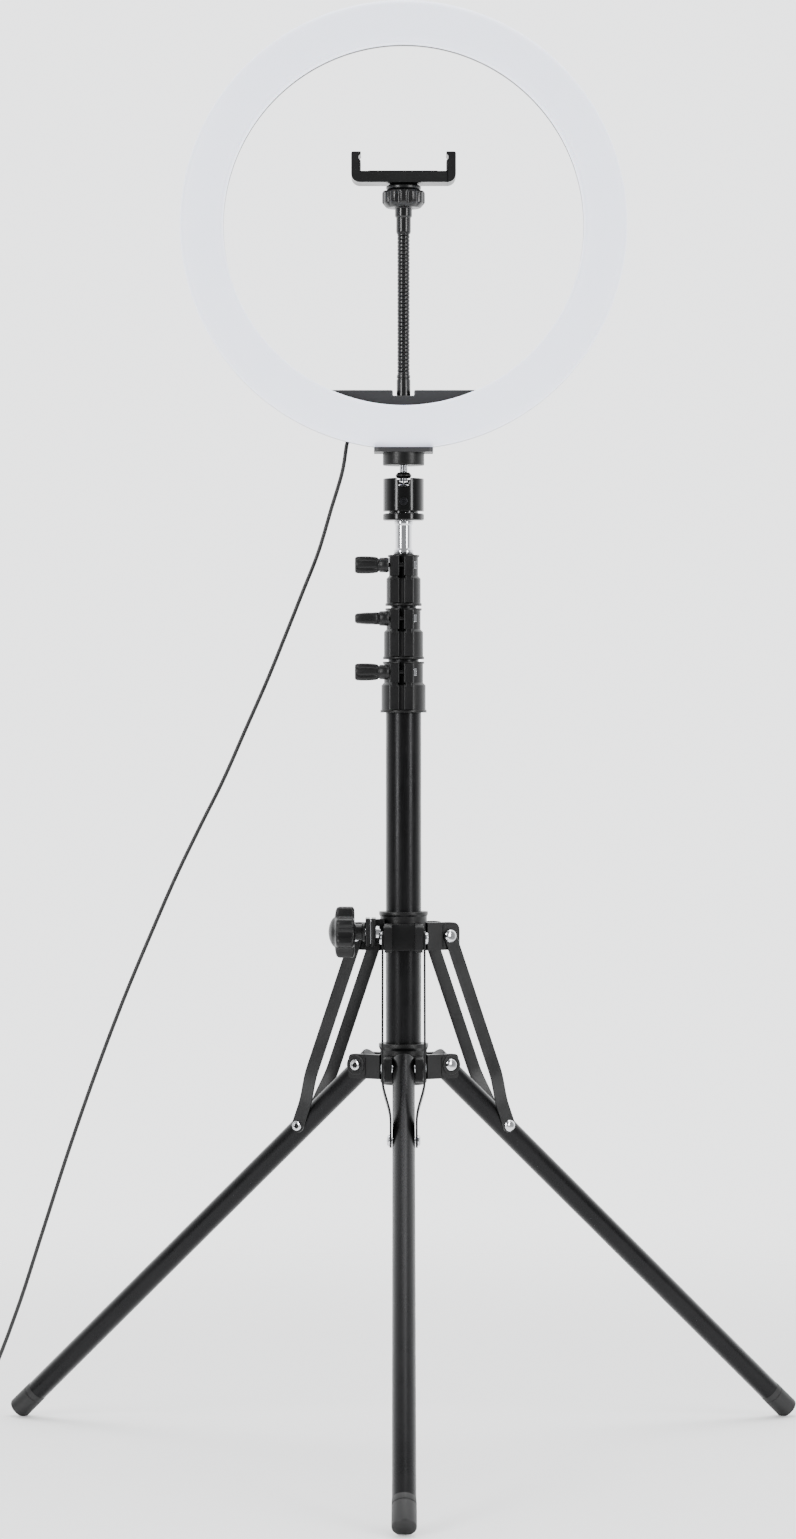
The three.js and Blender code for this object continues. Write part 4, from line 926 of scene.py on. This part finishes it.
for k in range(6):
    behind = spin(60 * k + 30, "Z") @ shift(RING_MID, 0, -SHELL_DEEP) @ spin(180, "X")
    screws.append(placed(screw_head(), behind))
made("shell_screws", "ring_head", joined(*screws), zinc, where=ring_at)
rib_rings = []
for radius in (139.5, 158.5):
    rib_rings.append(hoop([
        (radius - 0.6, -11.8), (radius - 0.6, -12.5, 0.3), (radius + 0.6, -12.5, 0.3), (radius + 0.6, -11.8),
    ], 240))
made("shell_ribs", "ring_head", joined(*rib_rings), shell_plastic, where=ring_at)


# Control housing: a crescent box of dark ABS across the foot of the ring's opening, with a
# screwed cover behind. It carries the gooseneck's socket and the lead's bush.
HOUSING_TOP, HOUSING_R = 786.2, 150.0
NOTCH_FLOOR, NOTCH_HALF = 782.0, 7.85


def segment(inset=0.0, sides=72):
    """The housing's outline in XZ: a circle about the ring's centre, cut off level, with a notch."""
    top = HOUSING_TOP - inset
    radius = HOUSING_R - inset
    drop = math.asin((RING_Z - top) / radius)
    out = []
    for k in range(sides + 1):
        angle = -drop + (2 * drop - math.pi) * k / sides
        out.append((radius * math.cos(angle), RING_Z + radius * math.sin(angle)))
    half = NOTCH_HALF + inset
    low = NOTCH_FLOOR - inset
    out += rounded([(-half, top), (-half, low, 0.8), (half, low, 0.8), (half, top)], closed=False)
    return out


housing_lo, housing_hi = extent("control_housing")
cover_lo, cover_hi = extent("control_cover")
made("housing_box", "ring_head", upright(slab(segment(), housing_lo.y, housing_hi.y)), shell_plastic,
     ["control_housing"], bevel=1.2, steps=3)
made("housing_cover", "ring_head", upright(slab(segment(0.4), cover_lo.y, cover_hi.y)), shell_plastic,
     ["control_cover"], bevel=0.7)
cover_screws = []
for x, z in ((-62, 779), (62, 779), (-30, 768), (30, 768)):
    cover_screws.append(placed(screw_head(), shift(x, cover_hi.y, z) @ spin(-90, "X")))
made("cover_screws", "ring_head", joined(*cover_screws), zinc)
rib = rounded([(-0.8, 771.5, 0.7), (0.8, 771.5, 0.7), (0.8, 779.5, 0.7), (-0.8, 779.5, 0.7)])
vents = joined(*[
    placed(upright(slab(rib, cover_hi.y - 0.2, cover_hi.y + 0.5)), shift(4 * k)) for k in range(-5, 6)
])
made("cover_ribs", "ring_head", vents, shell_plastic, bevel=0.2)


# Gooseneck: spirally wound spring steel with black lacquer, held at both ends in turned
# ferrules; the wire's turns show as fine ribs.
lacquer = finish("black lacquered spiral steel", "#050506", 0.24, 0.0, grain=0.4, depth=0.004, tint=0.15,
                 marks=0.12)
NECK_Y, NECK_R, WIND = 19.8, 4.65, 2.8
for node, lower, upper in (
    ("gooseneck_lower", "ring_head", "gooseneck_mid"), ("gooseneck_upper", "gooseneck_mid", "clip_mount"),
):
    lo, hi = extent(node)
    low, high = lo.z - 0.2, hi.z + 0.2
    rings = []
    count = round((high - low) / WIND * 12)
    for k in range(count + 1):
        z = low + (high - low) * k / count
        ring = []
        for i in range(28):
            turn = i / 28
            u = (z / WIND - turn) % 1 * 2 - 1
            radius = NECK_R - 0.85 * u ** 6
            ring.append((radius * math.cos(2 * math.pi * turn),
                         NECK_Y + radius * math.sin(2 * math.pi * turn), z))
        rings.append(ring)
    obj = made(f"{node}_wound", None, loft(rings), lacquer, [node], sharp=70)
    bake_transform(obj)
socket_lo, socket_hi = extent("neck_ferrule")
socket_r = (socket_hi.x - socket_lo.x) / 2
made("neck_socket", "ring_head", lathe([
    (0, socket_lo.z), (socket_r, socket_lo.z, 0.3), (socket_r, socket_hi.z - 3.4, 0.2),
    (socket_r - 0.5, socket_hi.z - 3, 0.2), (socket_r - 0.5, socket_hi.z - 2.4, 0.2),
    (socket_r, socket_hi.z - 2, 0.2), (socket_r - 0.2, socket_hi.z, 0.7), (NECK_R, socket_hi.z + 0.2),
    (0, socket_hi.z + 0.2),
], 64), lacquer, ["neck_ferrule"], where=shift(0, NECK_Y))
socket_low = extent("top_ferrule")[0].z
made("top_socket", "clip_mount", lathe([
    (0, socket_low), (4.9, socket_low, 0.3), (5.5, socket_low + 1.6, 0.5), (5.5, socket_low + 12, 0.3),
    (6.4, socket_low + 13.2, 0.3), (6.4, socket_low + 19.0, 0.4), (6.9, socket_low + 19.4, 0.3),
    (6.9, socket_low + 20.4), (0, socket_low + 20.4),
], 64), lacquer, ["top_ferrule"], where=shift(0, NECK_Y))


# Clip mount: a ribbed nut in black ABS clamps the ball under the clip, so that the clip can
# be turned and tipped.
clip_plastic = finish("moulded black ABS with a satin face", "#070708", 0.34, grain=0.5, depth=0.014,
                      tint=0.15)
nut_low, nut_top = (corner.z for corner in extent("clip_nut"))
NUT_RIBS = 12
nut_angles = [2 * math.pi * i / (NUT_RIBS * 12) for i in range(NUT_RIBS * 12)]


def ribbed(radius, z, depth):
    """A ring about Z with shallow ribs."""
    out = []
    for a in nut_angles:
        reach = radius - depth * (0.5 - 0.5 * math.cos(NUT_RIBS * a)) ** 3
        out.append((reach * math.cos(a), reach * math.sin(a), z))
    return out


made("clip_nut_ribbed", "clip_nut", loft([
    ribbed(r, z, d) for r, z, d in (
        (7.2, nut_low, 0), (12.2, nut_low, 0), (12.9, nut_low + 0.3, 0), (15.2, nut_low + 2.9, 0.3),
        (15.9, nut_low + 4.0, 1.3), (15.9, nut_top - 1.6, 1.3), (15.7, nut_top - 0.9, 0.2),
        (15.2, nut_top, 0), (6.6, nut_top, 0), (6.6, nut_top - 1.4, 0), (7.2, nut_top - 3, 0),
    )
], closed=True), clip_plastic, ["clip_nut"], sharp=48, where=shift(0, NECK_Y))
stem_low, stem_top = (corner.z for corner in extent("clip_stem"))
KNOB_R, STEM_R = 6.6, 4.4
stem = [(0, stem_low)]
for k in range(1, 13):
    angle = -math.pi / 2 + (math.pi - math.asin(STEM_R / KNOB_R)) * k / 12
    stem.append((KNOB_R * math.cos(angle), stem_low + KNOB_R + KNOB_R * math.sin(angle)))
stem += rounded([(STEM_R, stem_top - 4), (STEM_R, stem_top - 2.9), (12.2, stem_top - 2.7, 0.4),
                 (13, stem_top - 1.2, 0.8), (13, stem_top + 0.3, 0.4), (9.5, stem_top + 2.6, 0.8),
                 (0, stem_top + 2.6)], closed=False)
made("clip_foot", "clip", turned(stem, 64), clip_plastic, ["clip_stem"], where=shift(0, NECK_Y))


# Phone clip: two moulded black ABS jaws, one on a sprung tongue that slides in the other,
# with soft rubber pads where the phone sits.
def clip_half(right):
    """The outline of one jaw in XZ, drawn for the left side."""
    left, low, high = -38.8, 939.4, 947.7
    tip = high + 14.4
    bend = 6.3
    corner = []
    for k in range(11):
        angle = -math.pi / 2 * (1 + k / 10)
        corner.append((left + bend + bend * math.cos(angle), low + bend + bend * math.sin(angle)))
    return rounded([
        (right, low), *corner, (left, tip, 1.6), (left + 7.2, tip, 0.8), (left + 7.2, tip - 1.8, 0.6),
        (left + 5.6, tip - 3.2, 0.8), (left + 5.6, high, 1.6), (right, high, 0.4),
    ])


def jaw_shape(outline, front, back):
    """One jaw, from its front to its back face."""
    return upright(slab(outline, front, back))


JAW_FRONT, JAW_BACK, PAD_X = NECK_Y - 13, NECK_Y + 13, 33.25
channel = block((-16, NECK_Y - 7.2, 940.8), (40, NECK_Y + 7.2, 945.8), 0.1)
made("clip_fixed", "clip", cut(jaw_shape(clip_half(32.9), JAW_FRONT, JAW_BACK), channel), clip_plastic,
     ["clip_body"], bevel=1.5, steps=4)
jaw = jaw_shape(clip_half(-32.4), JAW_FRONT, JAW_BACK)
jaw.transform(Matrix.Scale(-1, 4, (1, 0, 0)))
made("clip_sliding", "clip_jaw", joined(
    jaw, block((-8.6, NECK_Y - 7, 941.0), (36, NECK_Y + 7, 945.6), 1.0),
), clip_plastic, ["clip_jaw"], bevel=1.5, steps=4)


def pad(side):
    """A ribbed pad on a jaw's inner face."""
    rows = [block((0, JAW_FRONT + 3, 948.6), (0.9, JAW_BACK - 3, 957), 0.3)]
    rows += [block((0.5, JAW_FRONT + 4 + 3.4 * k, 949.4), (1.5, JAW_FRONT + 5.6 + 3.4 * k, 956.2),
                   0.3) for k in range(6)]
    shape = joined(*rows)
    shape.transform(shift(-PAD_X) if side < 0 else shift(PAD_X) @ Matrix.Scale(-1, 4, (1, 0, 0)))
    return shape


made("pad_fixed", "clip", pad(-1), rubber, bevel=0.2)
made("pad_sliding", "clip_jaw", pad(1), rubber, bevel=0.2)
made("pad_seat", "clip", joined(
    block((-28, JAW_FRONT + 2.4, 947.2), (27, JAW_BACK - 2.4, 948.0), 1.5),
    *[block((-26, JAW_FRONT + 3.6 + 4 * k, 947.8), (25, JAW_FRONT + 5 + 4 * k, 948.4),
            0.3) for k in range(6)],
), rubber, bevel=0.2)


# The floor and the light: a plain pale floor that fades out into the surround, a soft light on
# each side and one above, and a pale surround that is brighter behind the object.
floor_mesh = bpy.data.meshes.new("floor")
FLOOR_HALF, FLOOR_Z = 9, -0.0006
floor_corners = [(x * FLOOR_HALF, y * FLOOR_HALF, FLOOR_Z) for x, y in ((-1, -1), (1, -1), (1, 1), (-1, 1))]
floor_mesh.from_pydata(floor_corners, [], [(0, 1, 2, 3)])
paper = finish("pale studio floor", "#ffffff", 0.75, grain=3.0, depth=0.01, tint=0.01)
paper_tree = paper.node_tree
place = add(paper_tree, "TexCoord").outputs["Object"]
far = add(paper_tree, "VectorMath", {0: place}, operation="LENGTH").outputs["Value"]
fade = add(paper_tree, "MapRange", {"Value": far, "From Min": 0.5, "From Max": 1.7},
           interpolation_type="SMOOTHSTEP").outputs[0]
clear = add(paper_tree, "BsdfTransparent").outputs[0]
solid = paper_tree.nodes["Principled BSDF"].outputs[0]
blended = add(paper_tree, "MixShader", {0: fade, 1: solid, 2: clear}).outputs[0]
paper_tree.links.new(blended, paper_tree.nodes["Material Output"].inputs["Surface"])
floor_mesh.materials.append(paper)
floor_obj = bpy.data.objects.new("floor", floor_mesh)
bpy.context.scene.collection.objects.link(floor_obj)


def lamp(name, place, aim, size, watts):
    """A soft square light at a place, facing a point."""
    light = bpy.data.lights.new(name, "AREA")
    light.shape = "RECTANGLE"
    light.size, light.size_y = size
    light.energy = watts
    obj = bpy.data.objects.new(name, light)
    obj.location = place
    obj.rotation_euler = (Vector(aim) - Vector(place)).to_track_quat("-Z", "Y").to_euler()
    bpy.context.scene.collection.objects.link(obj)


lamp("left_light", (-1.7, -1.9, 1.3), (0, 0, 0.6), (0.45, 2.2), 62)
lamp("right_light", (1.8, -1.6, 1.2), (0, 0, 0.6), (0.4, 2.0), 44)
lamp("top_light", (0.2, 0.4, 3.0), (0, 0, 0.5), (1.8, 1.2), 45)
world = bpy.data.worlds.new("pale surround")
world.use_nodes = True
sky = world.node_tree
way = add(sky, "SeparateXYZ", {"Vector": add(sky, "TexCoord").outputs["Generated"]}).outputs["Y"]
glow = add(sky, "MapRange", {
    "Value": way, "From Min": -0.5, "From Max": 0.7, "To Min": 0.42, "To Max": 3.0,
}, interpolation_type="SMOOTHSTEP").outputs[0]
backdrop = sky.nodes["Background"]
backdrop.inputs["Color"].default_value = linear("#f8f9fa")
sky.links.new(glow, backdrop.inputs["Strength"])
bpy.context.scene.world = world
